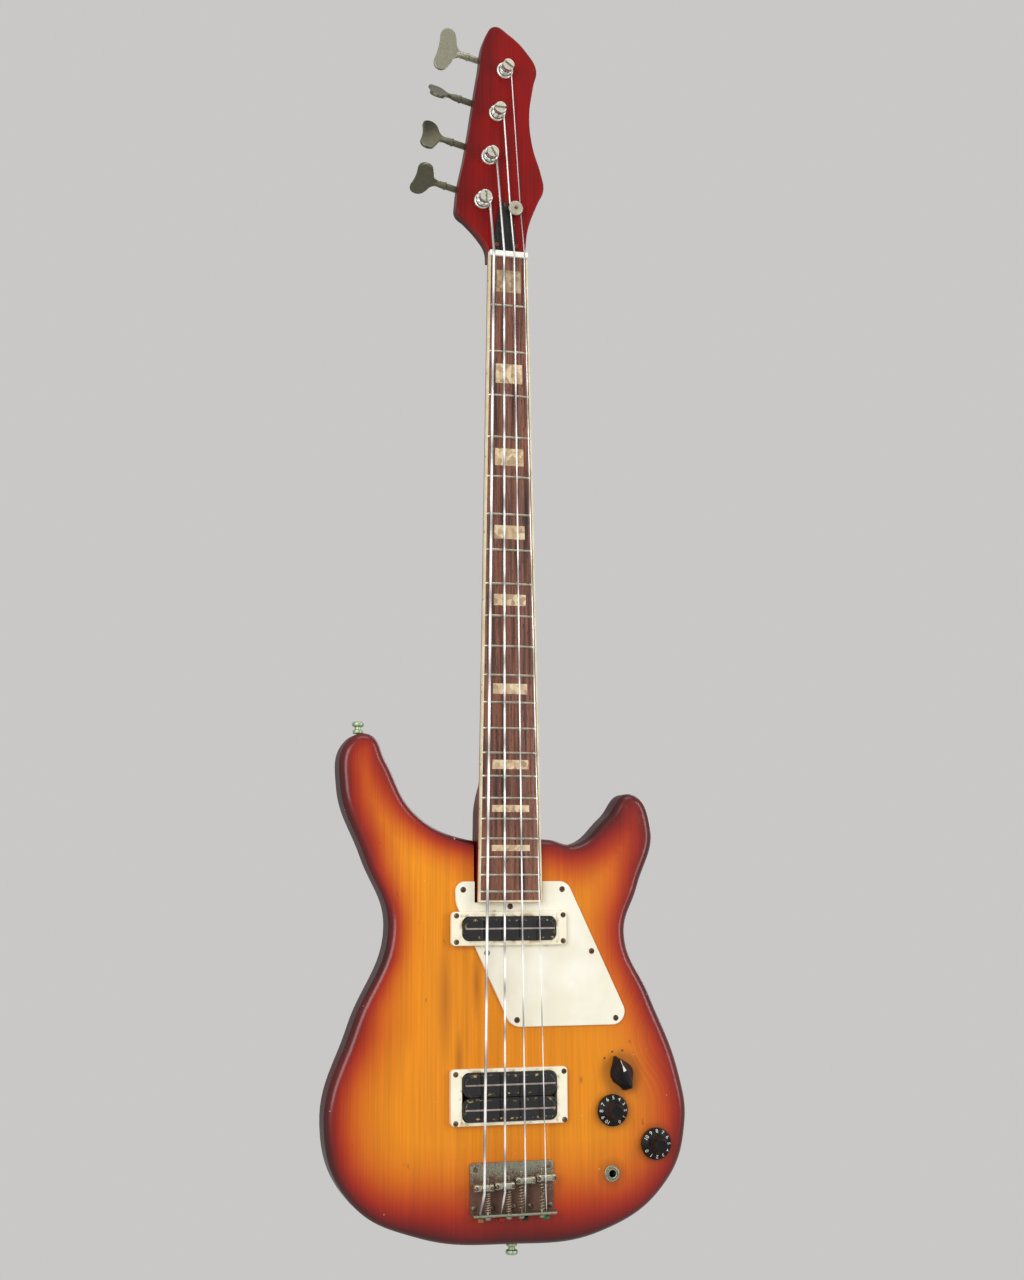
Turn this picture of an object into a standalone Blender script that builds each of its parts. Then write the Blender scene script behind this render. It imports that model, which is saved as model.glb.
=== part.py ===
"""Four-string electric bass guitar, built as separate pieces that bolt, slide and turn together.

The origin is where the strings break over the nut, on the centre line and level with the top
of the fingerboard. +Z runs up to the headstock, -Y is the playing side and +X is the side of
the thinnest string. Sizes are in millimetres and become metres where a shape is made.
"""

import math

import bmesh
import bpy
from mathutils import Matrix, Vector

MM = 0.001
SEAT = 0.3          # gap between two pieces that touch
RUN = 0.5           # gap round a shaft that turns
OVERCUT = 5.0       # how far a cutter reaches past what it cuts
NAMES = ("e", "a", "d", "g")

# Strings
SCALE = 864.0
FRET_COUNT = 21
STRING_DIAMETERS = (2.66, 2.16, 1.66, 1.14)
NUT_PITCH = 10.2
NUT_HEIGHTS = 1.5               # underside of the strings over the board at the nut
SADDLE_HEIGHTS = 5.0            # and at the saddles
COMPENSATIONS = (7.0, 6.0, 2.0, 0.6)
BALL_DIAMETER = 5.0

# Neck and fingerboard
NUT_WIDTH = 38.0
BOARD_END_WIDTH = 61.0
BOARD_THICKNESS = 6.0
BOARD_RADIUS = 305.0
BOARD_OVERRUN = 9.6             # board past the last fret
BINDING_WIDTH = 1.7
FRET_RADIUS = 1.25              # half the width of a fret's crown
FRET_HEIGHT = 1.0
NUT_THICKNESS = 5.5
NUT_TOP = 3.0
NECK_DEPTH = 14.8               # wood under the board at the nut
NECK_DEPTH_GROWTH = 3.4         # more of it by the heel
HEEL_TOP_Z = -505.0
HEEL_BLEND = 32.0
HEEL_DEPTH = 26.5
HEEL_FLARE = 1.8
ROD_DIAMETER = 6.0
ROD_END_MARGIN = 41.0           # from the rod's end to the end of the board
ROD_NUT_LENGTH = 14.0
ROD_NUT_DIAMETER = 8.0
ROD_MOUTH_LENGTH = 32.0

# Headstock, its outline from the nut round the tip and back
HEAD_THICKNESS = 15.0
HEAD_KNOTS = (
    (18.6, -3), (19.6, 12), (22.6, 34), (31.5, 58), (38.3, 74), (36, 89), (27.5, 117), (24.3, 148),
    (28.5, 180), (31.6, 197), (22, 214), (3, 231), (-12, 237.5), (-20.5, 226), (-27.3, 190),
    (-40.5, 107), (-50, 54), (-49.5, 43), (-40, 34.5), (-27, 21), (-20, 10), (-18.6, -3),
)
COVER_FOOT_WIDTH = 26.8
COVER_HEAD_WIDTH = 11.8
COVER_LENGTH = 52.0
COVER_THICKNESS = 1.6
COVER_CENTRE_X = -1.9
RETAINER_Z = 50.0
RETAINER_DIAMETER = 14.5
RETAINER_THICKNESS = 2.0
RETAINER_STEM = 5.6
RETAINER_PULL = 1.0             # depth that it holds the strings at

# Tuners: feet of the posts on the headstock, and the angle that each key stands at
POST_PLACES = ((-24.4, 56.8), (-17.2, 102.2), (-9.4, 147.6), (-1.3, 192.4))
KEY_ANGLES = (72.0, -32.0, -54.0, 2.0)
TUNER_SLOPE = 13.5
POST_DIAMETER = 11.6
POST_WAIST = 9.4
POST_HEIGHT = 15.4              # above the headstock's face
POST_CAP = 3.0
POST_SLOT = 2.4
BUSHING_FLANGE = 17.0
BUSHING_FLANGE_HEIGHT = 1.7
BUSHING_SLEEVE_WALL = 1.3
BUSHING_DEPTH = 9.0
WIND_TURNS = (2.3, 2.5, 3.0, 3.5)
WIND_GAP = 0.48
WIND_POINTS = 12                # points in each turn
PLATE_THICKNESS = 1.5
PLATE_WIDTH = 29.0
PLATE_BELOW = 13.5
PLATE_ABOVE = 18.5
WHEEL_TEETH = 20
WHEEL_PITCH_RADIUS = 8.25
WHEEL_TOOTH_OUT = 0.65
WHEEL_TOOTH_IN = 1.15
WHEEL_WIDTH = 5.0
WHEEL_TOOTH_TIP = 0.5
WHEEL_TOOTH_ROOT = 1.35
WORM_PITCH_RADIUS = 3.25
WORM_CORE_RADIUS = 2.2
WORM_OUTER_RADIUS = 4.0
WORM_THREAD_TIP = 0.6
WORM_THREAD_ROOT = 1.6
WORM_LENGTH = 8.4
WORM_STEPS = 7                  # facets in a turn of the thread
EAR_THICKNESS = 2.0
EAR_WIDTH = 8.4
KEY_SHAFT_DIAMETER = 5.0
KEY_STEM_DIAMETER = 6.8
KEY_REACH = 56.0                # post axis to the middle of the key's blade
KEY_SPAN = 45.0
KEY_WIDTH = 24.0
KEY_THICKNESS = 3.4

# Body, its outline clockwise from the strap horn
BODY_FRONT = 11.0
BODY_THICKNESS = 38.0
BODY_ROUNDING = 8.5
BODY_KNOTS = (
    (-149.5, -468), (-129.5, -463), (-115, -487), (-88, -534), (-44, -557.5), (42, -559),
    (68, -563), (99, -538), (123.5, -515.5), (143.5, -547), (129, -603), (115.5, -647), (139, -703),
    (168, -777), (173.5, -823), (154, -876), (92, -917), (0, -924.5), (-86, -914), (-145, -881),
    (-169.5, -815), (-145, -728), (-111.5, -638), (-134, -575), (-157, -510),
)
CAVITY_KNOTS = (
    (84, -757), (112, -750), (142, -762), (156, -795), (158, -833), (145, -864), (112, -884),
    (84, -876), (77, -842), (78, -790),
)
CAVITY_LID = 5.0                # wood left over the controls
COVER_LIP = 6.0
BACK_COVER_THICKNESS = 2.2

# Pickguard, its corners with their radii
GUARD_THICKNESS = 2.4
GUARD_CORNERS = (
    (56.9, -597.7, 12), (-51, -597.7, 9), (-50.2, -618, 25), (2, -730.5, 14), (119.1, -730.5, 12),
)

# Pickups
COIL_LENGTH = 89.0
COIL_WIDTH = 21.5
COIL_HEIGHT = 21.0
COIL_CORNER = 7.0
COIL_STEP = 1.7                 # shoulder round the raised top of a bobbin
COIL_STEP_HEIGHT = 1.3
COIL_TOP_CORNER = 8.6
BLADE_LENGTH = 85.0
BLADE_WIDTH = 1.6
BLADE_PROUD = 0.5
RING_LENGTH = 110.5
RING_CORNER = 4.0
RING_CENTRE_X = -0.6
NECK_RING_WIDTH = 31.0
NECK_RING_HEIGHT = 4.6
NECK_PICKUP_Z = -640.7
BRIDGE_RING_WIDTH = 50.6
BRIDGE_RING_HEIGHT = 6.0
BRIDGE_PICKUP_Z = -792.0
COIL_RISE = 3.0                 # coil above its ring
COIL_CLEARANCE = 0.5

# Bridge
BRIDGE_CENTRE_X = 2.2
BRIDGE_WIDTH = 78.5
BRIDGE_FORWARD = 13.7           # plate that reaches past the scale's end, towards the neck
BRIDGE_LENGTH = 46.2
BRIDGE_THICKNESS = 2.3
BRIDGE_WALL_TOP = 15.0          # height of the rear wall over the body
STRING_CENTRE_X = 1.15
SADDLE_STRING_PITCH = 19.2
SADDLE_PITCH = 19.4
SADDLE_LENGTH = 18.9
SADDLE_RADIUS = 3.8
SADDLE_SHIFT = 3.0              # travel towards the wall that the string's break allows
SCREW_OFFSETS = (3.8, 3.8, -3.8, -3.8)
HOLE_OFFSETS = (-1.0, -0.6, 2.4, 3.2)
STRING_HOLE_DEPTH = 8.0         # below the top of the wall
INTONATION_RADIUS = 1.45
INTONATION_HEAD = 5.8
INTONATION_TIP = 5.0            # screw past the saddle
HEIGHT_SCREW_RADIUS = 1.3
HEIGHT_SCREW_OFFSET = 7.4
SPRING_WIRE = 0.8
SPRING_RADIUS = 2.2
SPRING_CURLS = 8
SPRING_POINTS = 8

# Controls
SELECTOR_PLACE = (108.6, -775.1)
VOLUME_PLACE = (99.4, -808.4)
TONE_PLACE = (141.7, -840.2)
JACK_PLACE = (98.7, -865.5)
SHAFT_RADIUS = 3.0
BUSH_RADIUS = 4.6
POT_RADIUS = 12.0
POT_HEIGHT = 10.0
SWITCH_RADIUS = 13.0
SWITCH_HEIGHT = 14.0
CONTROL_NUT_RADIUS = 7.0
CONTROL_NUT_HEIGHT = 2.2
KNOB_RADIUS = 14.5
KNOB_HEIGHT = 17.0
KNOB_TOP_RADIUS = 6.0
KNOB_FLOAT = 0.8
POINTER_LENGTH = 32.0
POINTER_WIDTH = 22.0
POINTER_HEIGHT = 15.0
POINTER_ANGLE = 113.0
JACK_BORE_RADIUS = 3.3
JACK_SLEEVE_RADIUS = 4.7
JACK_DEPTH = 16.0
JACK_NUT_RADIUS = 7.4
JACK_NUT_HEIGHT = 2.2

# Strap buttons
HORN_BUTTON_X = -138.5
TAIL_BUTTON_X = 7.5
BUTTON_Y = 30.0
BUTTON_HEAD_DIAMETER = 11.5
BUTTON_LENGTH = 11.2

# Neck plate on the back
NECK_PLATE_WIDTH = 50.0
NECK_PLATE_LENGTH = 62.0
NECK_PLATE_THICKNESS = 1.8
NECK_PLATE_Z = -589.0

# Values that follow from the ones above
BOARD_BOTTOM = BOARD_THICKNESS
WOOD_TOP = BOARD_BOTTOM + SEAT
HEAD_BACK = WOOD_TOP + HEAD_THICKNESS
BODY_BACK = BODY_FRONT + BODY_THICKNESS
GUARD_BACK = BODY_FRONT - SEAT
GUARD_FRONT = GUARD_BACK - GUARD_THICKNESS
BRIDGE_TOP = BODY_FRONT - SEAT - BRIDGE_THICKNESS
BRIDGE_FRONT_Z = BRIDGE_FORWARD - SCALE
BRIDGE_BACK_Z = BRIDGE_FRONT_Z - BRIDGE_LENGTH
WALL_FRONT_Z = BRIDGE_BACK_Z + BRIDGE_THICKNESS
WORM_DISTANCE = WHEEL_PITCH_RADIUS + WORM_PITCH_RADIUS
WORM_PITCH = 2 * math.pi * WHEEL_PITCH_RADIUS / WHEEL_TEETH
PLATE_BACK = HEAD_BACK + SEAT + PLATE_THICKNESS
WORM_Y = PLATE_BACK + WORM_OUTER_RADIUS + SEAT
BUSHING_FRONT = WOOD_TOP - SEAT - BUSHING_FLANGE_HEIGHT


def fret_z(number):
    """Height of a fret, by equal temperament."""
    return -SCALE * (1 - 2 ** (-number / 12))


BOARD_END_Z = fret_z(FRET_COUNT) - BOARD_OVERRUN
ROD_END_Z = BOARD_END_Z + ROD_END_MARGIN


def board_half(z):
    """Half the width of the fingerboard at a height."""
    share = z / BOARD_END_Z
    return (NUT_WIDTH + (BOARD_END_WIDTH - NUT_WIDTH) * share) / 2


def crown_drop(x):
    """How far the round top of the board falls away at a distance from the centre line."""
    return BOARD_RADIUS - math.sqrt(BOARD_RADIUS ** 2 - x ** 2)


# Scene, materials and objects

def clear_scene():
    """Remove every object, so that the model starts from nothing."""
    for thing in list(bpy.data.objects):
        bpy.data.objects.remove(thing, do_unlink=True)


def new_collection(name):
    """Make a collection in the scene."""
    group = bpy.data.collections.new(name)
    bpy.context.scene.collection.children.link(group)
    return group


def new_material(name, colour, roughness, metallic=0.0):
    """Make a Principled material."""
    material = bpy.data.materials.new(name)
    material.use_nodes = True
    shader = material.node_tree.nodes["Principled BSDF"]
    shader.inputs["Base Color"].default_value = (*colour, 1.0)
    shader.inputs["Roughness"].default_value = roughness
    shader.inputs["Metallic"].default_value = metallic
    return material


def metres(point):
    """Turn a point in millimetres into a Vector in metres."""
    return Vector(point) * MM


def new_object(name, data, material, parent=None):
    """Add an object: with a material it is a piece, without one a cutter."""
    thing = bpy.data.objects.new(name, data)
    if material is None:
        CUTTERS.objects.link(thing)
        thing.hide_render = True
        thing.display_type = "WIRE"
    else:
        PIECES.objects.link(thing)
        data.materials.append(material)
    thing.parent = parent
    return thing


def frame_at(name, place, rotation=(0.0, 0.0, 0.0), parent=None):
    """Add an empty that pieces hang from."""
    empty = bpy.data.objects.new(name, None)
    PIECES.objects.link(empty)
    empty.empty_display_size = 5 * MM
    empty.location = metres(place)
    empty.rotation_euler = rotation
    empty.parent = parent
    return empty


def mesh_from(name, work, smooth_angle=35.0):
    """Turn a bmesh into a mesh that is shaded smooth where it is round."""
    bmesh.ops.recalc_face_normals(work, faces=work.faces)
    mesh = bpy.data.meshes.new(name)
    work.to_mesh(mesh)
    work.free()
    mesh.shade_smooth()
    mesh.set_sharp_from_angle(angle=math.radians(smooth_angle))
    return mesh


# Outlines in the XZ plane

def arc(centre, radius, first, last, steps):
    """Points along an arc, with its angles in degrees from +X towards +Z."""
    points = []
    for step in range(steps + 1):
        angle = math.radians(first + (last - first) * step / steps)
        points.append((centre[0] + radius * math.cos(angle), centre[1] + radius * math.sin(angle)))
    return points


def rounded_rectangle(centre, width, height, radius, steps=3):
    """Outline of a rectangle with round corners."""
    points = []
    for quarter, (side, rise) in enumerate(((1, 1), (-1, 1), (-1, -1), (1, -1))):
        corner = (centre[0] + side * (width / 2 - radius), centre[1] + rise * (height / 2 - radius))
        points += arc(corner, radius, 90 * quarter, 90 * quarter + 90, steps)
    return points


def filleted(corners, steps=3):
    """Outline of an anticlockwise polygon whose (x, z, radius) corners are rounded."""
    points = []
    for index, (x, z, radius) in enumerate(corners):
        corner = Vector((x, z))
        before = (Vector(corners[index - 1][:2]) - corner).normalized()
        after = (Vector(corners[(index + 1) % len(corners)][:2]) - corner).normalized()
        half = before.angle(after) / 2
        centre = corner + (before + after).normalized() * radius / math.sin(half)
        first = corner + before * radius / math.tan(half) - centre
        for step in range(steps + 1):
            turn = Matrix.Rotation((math.pi - 2 * half) * step / steps, 2)
            points.append(tuple(centre + turn @ first))
    return points


def smooth_outline(knots, resolution=3, closed=True):
    """Points of a smooth curve through a few knots."""
    curve = bpy.data.curves.new("knots", "CURVE")
    curve.dimensions = "2D"
    spline = curve.splines.new("BEZIER")
    spline.bezier_points.add(len(knots) - 1)
    spline.use_cyclic_u = closed
    spline.resolution_u = resolution
    for point, knot in zip(spline.bezier_points, knots):
        point.co = (knot[0], knot[1], 0.0)
        point.handle_left_type = "AUTO"
        point.handle_right_type = "AUTO"
    guide = bpy.data.objects.new("knots", curve)
    CUTTERS.objects.link(guide)
    shape = bpy.data.meshes.new_from_object(guide.evaluated_get(bpy.context.evaluated_depsgraph_get()))
    points = [(vertex.co.x, vertex.co.y) for vertex in shape.vertices]
    bpy.data.objects.remove(guide)
    bpy.data.curves.remove(curve)
    bpy.data.meshes.remove(shape)
    return points


def grown(outline, distance):
    """Move an anticlockwise outline outwards by a distance, or inwards where it is negative."""
    points = []
    for index, (x, z) in enumerate(outline):
        before = Vector(outline[index - 1])
        after = Vector(outline[(index + 1) % len(outline)])
        along = (after - before).normalized()
        points.append((x + along.y * distance, z - along.x * distance))
    return points


def anticlockwise(outline):
    """Give an outline the direction that grown needs."""
    area = 0.0
    for index, (x, z) in enumerate(outline):
        area += outline[index - 1][0] * z - x * outline[index - 1][1]
    return outline if area > 0 else outline[::-1]


# Solids

def prism(name, outline, front, back, material=None, parent=None):
    """Extrude a flat outline from the front depth to the back depth, along Y."""
    curve = bpy.data.curves.new(name, "CURVE")
    curve.dimensions = "2D"
    curve.fill_mode = "BOTH"
    curve.extrude = (back - front) / 2 * MM
    spline = curve.splines.new("POLY")
    spline.points.add(len(outline) - 1)
    spline.use_cyclic_u = True
    for point, (x, z) in zip(spline.points, outline):
        point.co = (x * MM, z * MM, 0.0, 1.0)
    flat = bpy.data.objects.new(name, curve)
    CUTTERS.objects.link(flat)
    mesh = bpy.data.meshes.new_from_object(flat.evaluated_get(bpy.context.evaluated_depsgraph_get()))
    bpy.data.objects.remove(flat)
    bpy.data.curves.remove(curve)
    work = bmesh.new()
    work.from_mesh(mesh)
    bpy.data.meshes.remove(mesh)
    bmesh.ops.remove_doubles(work, verts=work.verts, dist=0.00001)
    upright = Matrix.Translation((0, (front + back) / 2 * MM, 0)) @ Matrix.Rotation(math.pi / 2, 4, "X")
    bmesh.ops.transform(work, matrix=upright, verts=work.verts)
    return new_object(name, mesh_from(name, work), material, parent)


def box(name, low, high, material=None, parent=None):
    """A block between two corners."""
    size = [(b - a) * MM for a, b in zip(low, high)]
    middle = [(a + b) / 2 * MM for a, b in zip(low, high)]
    work = bmesh.new()
    bmesh.ops.create_cube(work, size=1.0)
    bmesh.ops.scale(work, vec=size, verts=work.verts)
    bmesh.ops.translate(work, vec=middle, verts=work.verts)
    return new_object(name, mesh_from(name, work), material, parent)


def cylinder(name, start, end, radius, material=None, parent=None, sides=16):
    """A round bar between two points."""
    start, end = metres(start), metres(end)
    work = bmesh.new()
    bmesh.ops.create_cone(
        work, cap_ends=True, segments=sides, radius1=radius * MM, radius2=radius * MM,
        depth=(end - start).length)
    turn = Vector((0, 0, 1)).rotation_difference(end - start).to_matrix().to_4x4()
    bmesh.ops.transform(work, matrix=Matrix.Translation((start + end) / 2) @ turn, verts=work.verts)
    return new_object(name, mesh_from(name, work), material, parent)


def turned(name, profile, foot, axis, material=None, parent=None, steps=12, closed=False):
    """Turn a profile of (radius, height) points about an axis through foot.

    The points run from the top down the outer side. A closed profile makes a ring.
    """
    mesh = bpy.data.meshes.new(name)
    points = [(radius * MM, 0.0, height * MM) for radius, height in profile]
    edges = [(index, index + 1) for index in range(len(points) - 1)]
    if closed:
        edges.append((len(points) - 1, 0))
    mesh.from_pydata(points, edges, [])
    thing = new_object(name, mesh, material, parent)
    thing.location = metres(foot)
    thing.rotation_euler = Vector((0, 0, 1)).rotation_difference(Vector(axis)).to_euler()
    screw = thing.modifiers.new("Turn", "SCREW")
    screw.steps = steps
    screw.render_steps = steps
    screw.use_merge_vertices = True
    screw.merge_threshold = 0.00001
    return thing


def loft(name, sections, material=None, parent=None):
    """Skin a row of sections with the same number of points each, and cap both ends."""
    work = bmesh.new()
    rings = [[work.verts.new(metres(point)) for point in section] for section in sections]
    count = len(rings[0])
    for near, far in zip(rings, rings[1:]):
        for index in range(count):
            after = (index + 1) % count
            work.faces.new((near[index], near[after], far[after], far[index]))
    work.faces.new(rings[0])
    work.faces.new(rings[-1])
    return new_object(name, mesh_from(name, work), material, parent)


def slab(name, outline, front, back, rounding, material):
    """A flat block along Y whose anticlockwise outline is rounded over at both faces."""
    shallow = rounding * (1 - math.sqrt(0.5))
    steps = [(rounding, 0.0), (shallow, shallow), (0.0, rounding)]
    rings = [(inset, front + depth) for inset, depth in steps]
    rings += [(inset, back - depth) for inset, depth in reversed(steps)]
    sections = [[(x, y, z) for x, z in grown(outline, -inset)] for inset, y in rings]
    return loft(name, sections, material)


def tube(name, points, radius, material=None, parent=None, resolution=1):
    """A round wire along a row of points, as a closed mesh."""
    curve = bpy.data.curves.new(name, "CURVE")
    curve.dimensions = "3D"
    curve.bevel_depth = radius * MM
    curve.bevel_resolution = resolution
    curve.use_fill_caps = True
    spline = curve.splines.new("POLY")
    spline.points.add(len(points) - 1)
    for point, place in zip(spline.points, points):
        point.co = (*metres(place), 1.0)
    wire = bpy.data.objects.new(name, curve)
    CUTTERS.objects.link(wire)
    mesh = bpy.data.meshes.new_from_object(wire.evaluated_get(bpy.context.evaluated_depsgraph_get()))
    bpy.data.objects.remove(wire)
    bpy.data.curves.remove(curve)
    work = bmesh.new()
    work.from_mesh(mesh)
    bpy.data.meshes.remove(mesh)
    bmesh.ops.remove_doubles(work, verts=work.verts, dist=0.000001)
    return new_object(name, mesh_from(name, work), material, parent)


def boolean(target, tool, operation):
    """Add a Boolean modifier."""
    modifier = target.modifiers.new(tool.name, "BOOLEAN")
    modifier.operation = operation
    modifier.object = tool


def cut(target, *tools):
    """Take the tools away from a piece."""
    for tool in tools:
        boolean(target, tool, "DIFFERENCE")


def join(target, *tools):
    """Make the tools part of a piece."""
    for tool in tools:
        boolean(target, tool, "UNION")


def keep_inside(target, tool):
    """Keep only what lies in the tool."""
    boolean(target, tool, "INTERSECT")


def round_edges(target, width, segments=2, angle=50.0):
    """Round the edges that are sharper than an angle."""
    modifier = target.modifiers.new("Round", "BEVEL")
    modifier.width = width * MM
    modifier.segments = segments
    modifier.limit_method = "ANGLE"
    modifier.angle_limit = math.radians(angle)


def move_origin(thing, place):
    """Put an object's origin at a point, with its mesh left where it is."""
    thing.data.transform(Matrix.Translation(-metres(place)))
    thing.location = metres(place)


# Neck

def neck_section(z):
    """Cross-section of the neck under the board, a half round that turns square at the heel."""
    heel = min(max((HEEL_TOP_Z - z) / HEEL_BLEND, 0.0), 1.0)
    ease = heel * heel * (3 - 2 * heel)
    half = board_half(z) + HEEL_FLARE * ease
    depth = NECK_DEPTH + NECK_DEPTH_GROWTH * min(z / HEEL_TOP_Z, 1.0)
    depth += (HEEL_DEPTH - depth) * ease
    power = 2.1 + 12 * ease
    points = []
    for step in range(13):
        angle = math.pi * step / 12
        across = math.copysign(abs(math.cos(angle)) ** (2 / power), math.cos(angle))
        points.append((half * across, WOOD_TOP + depth * math.sin(angle) ** (2 / power), z))
    return points


def build_neck():
    """Maple-style neck with its headstock, the holes for the tuners and the truss rod's channel."""
    blend_end = HEEL_TOP_Z - HEEL_BLEND
    heights = [2.0, HEEL_TOP_Z / 8, HEEL_TOP_Z / 2, HEEL_TOP_Z, HEEL_TOP_Z - HEEL_BLEND / 3]
    heights += [HEEL_TOP_Z - 2 * HEEL_BLEND / 3, blend_end, BOARD_END_Z]
    neck = loft("neck", [neck_section(z) for z in heights], CHERRY)
    head = prism("head_blank", smooth_outline(HEAD_KNOTS, 2, closed=False), WOOD_TOP, HEAD_BACK)
    join(neck, head)
    channel_half = ROD_DIAMETER / 2 + SEAT
    cut(neck, box(
        "rod_channel", (-channel_half, WOOD_TOP - OVERCUT, ROD_END_Z - SEAT),
        (channel_half, WOOD_TOP + ROD_DIAMETER + 2 * SEAT, 0)))
    nut_half = ROD_NUT_DIAMETER / 2 + 1
    cut(neck, prism(
        "rod_mouth",
        rounded_rectangle((0, ROD_MOUTH_LENGTH / 2 - 2), 2 * nut_half, ROD_MOUTH_LENGTH, nut_half - 1),
        WOOD_TOP - OVERCUT, WOOD_TOP + ROD_NUT_DIAMETER + 1))
    for name, (x, z) in zip(NAMES, POST_PLACES):
        radius = POST_DIAMETER / 2 + RUN + BUSHING_SLEEVE_WALL + SEAT
        cut(neck, cylinder(
            "head_hole_" + name, (x, WOOD_TOP - OVERCUT, z), (x, HEAD_BACK + OVERCUT, z), radius * 1.04,
            sides=14))
    return neck


def build_truss_rod():
    """Steel rod in its channel, with the adjusting nut under the cover."""
    middle = WOOD_TOP + SEAT + ROD_DIAMETER / 2
    rod = cylinder("truss_rod", (0, middle, ROD_END_Z), (0, middle, 6), ROD_DIAMETER / 2, STEEL, sides=12)
    hexagon = cylinder(
        "rod_nut", (0, middle + 0.6, 4), (0, middle + 0.6, 4 + ROD_NUT_LENGTH), ROD_NUT_DIAMETER / 2,
        sides=6)
    join(rod, hexagon)
    return rod


def board_blank(name, front_radius, material=None):
    """The tapered board with a round top, its binding included."""
    top = board_half(-SEAT)
    end = board_half(BOARD_END_Z)
    outline = [(-top, -SEAT), (-end, BOARD_END_Z), (end, BOARD_END_Z), (top, -SEAT)]
    blank = prism(name, outline, -1.0, BOARD_BOTTOM, material)
    crown = cylinder(
        name + "_crown", (0, BOARD_RADIUS, OVERCUT), (0, BOARD_RADIUS, BOARD_END_Z - OVERCUT),
        front_radius, sides=120)
    keep_inside(blank, crown)
    return blank


def board_outline(inset):
    """Outline of the board without its binding, open past the nut."""
    top = board_half(0) - inset
    end = board_half(BOARD_END_Z) - inset
    foot = BOARD_END_Z + inset
    return [(-top, OVERCUT), (-end, foot), (end, foot), (top, OVERCUT)]


def build_fingerboard():
    """Rosewood board with a round top and its frets."""
    board = board_blank("fingerboard", BOARD_RADIUS, ROSEWOOD)
    inside = board_outline(BINDING_WIDTH + SEAT)
    keep_inside(board, prism("board_inside", inside, -OVERCUT, BOARD_BOTTOM + OVERCUT))
    sink = FRET_RADIUS - FRET_HEIGHT
    for number in range(1, FRET_COUNT + 1):
        z = fret_z(number)
        half = board_half(z) - BINDING_WIDTH - 2 * SEAT
        xs = [half * (step - 1.5) / 1.5 for step in range(4)]
        route = [(x, crown_drop(x) + sink, z) for x in xs]
        join(board, tube("fret_%02d" % number, route, FRET_RADIUS, resolution=0))
    return board


def build_binding():
    """Cream strip down both sides of the board and across its end."""
    strip = board_blank("fingerboard_binding", BOARD_RADIUS, CREAM)
    inside = board_outline(BINDING_WIDTH)
    cut(strip, prism("binding_inside", inside, -OVERCUT, BOARD_BOTTOM + OVERCUT))
    return strip


def nut_x(index):
    """Sideways place of a string at the nut."""
    return (index - 1.5) * NUT_PITCH


def nut_string_y(index):
    """Depth of a string's centre at the nut."""
    return crown_drop(nut_x(index)) - NUT_HEIGHTS - STRING_DIAMETERS[index] / 2


def build_nut():
    """White nut with four slots."""
    half = NUT_WIDTH / 2
    nut = box("nut", (-half, -NUT_TOP, 0), (half, BOARD_BOTTOM, NUT_THICKNESS), BONE)
    round_edges(nut, 0.7, 1)
    for index, name in enumerate(NAMES):
        reach = STRING_DIAMETERS[index] / 2 + SEAT
        low = nut_string_y(index) + reach
        cut(nut, box(
            "nut_slot_" + name, (nut_x(index) - reach, -NUT_TOP - 2, -1),
            (nut_x(index) + reach, low, NUT_THICKNESS + 1)))
    return nut


def build_truss_cover():
    """Black bell-shaped plate over the truss rod's nut."""
    low = NUT_THICKNESS + SEAT
    high = low + COVER_LENGTH
    foot, head, x = COVER_FOOT_WIDTH / 2, COVER_HEAD_WIDTH / 2, COVER_CENTRE_X
    side = [
        (x + foot, low), (x + foot - 0.6, low + 3), (x + foot - 3.6, low + COVER_LENGTH * 0.42),
        (x + head + 1.4, high - 2.2 * head),
    ]
    crown = arc((x, high - head), head, 0, 180, 6)
    mirror = [(2 * x - px, pz) for px, pz in reversed(side)]
    cover = prism(
        "truss_rod_cover", side + crown + mirror, WOOD_TOP - SEAT - COVER_THICKNESS, WOOD_TOP - SEAT, BLACK)
    round_edges(cover, 0.5, 1)
    return cover


# Strings

def saddle_z(index):
    """Height of a saddle's top, where the string leaves it."""
    return -SCALE - COMPENSATIONS[index]


def saddle_string_x(index):
    """Sideways place of a string at its saddle."""
    return STRING_CENTRE_X + (index - 1.5) * SADDLE_STRING_PITCH


def saddle_string_y(index):
    """Depth of a string's centre at its saddle."""
    return -SADDLE_HEIGHTS - STRING_DIAMETERS[index] / 2


def saddle_y():
    """Depth of the saddles' centre line."""
    return -SADDLE_HEIGHTS + SEAT + SADDLE_RADIUS


def wall_top():
    """Depth of the top of the bridge's rear wall."""
    return BODY_FRONT - BRIDGE_WALL_TOP


def coil_radius(index):
    """Radius of a string's winding, with the middle of each facet clear of the post."""
    return (POST_WAIST / 2 + SEAT + STRING_DIAMETERS[index] / 2) / math.cos(math.pi / WIND_POINTS)


def winding(index, arrival):
    """Points of a string round its post, from where it arrives to its end."""
    radius = STRING_DIAMETERS[index] / 2
    x, z = POST_PLACES[index]
    coil = coil_radius(index)
    pitch = 2 * radius + WIND_GAP
    start_y = BUSHING_FRONT - SEAT - radius
    direction = Vector((x + coil, z)) - Vector(arrival)
    first = math.atan2(-direction.x, direction.y)
    steps = round(WIND_TURNS[index] * WIND_POINTS)
    points = []
    for step in range(steps + 1):
        turn = step / WIND_POINTS
        angle = first + 2 * math.pi * turn
        points.append((x + coil * math.cos(angle), start_y - pitch * turn, z + coil * math.sin(angle)))
    return points


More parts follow.
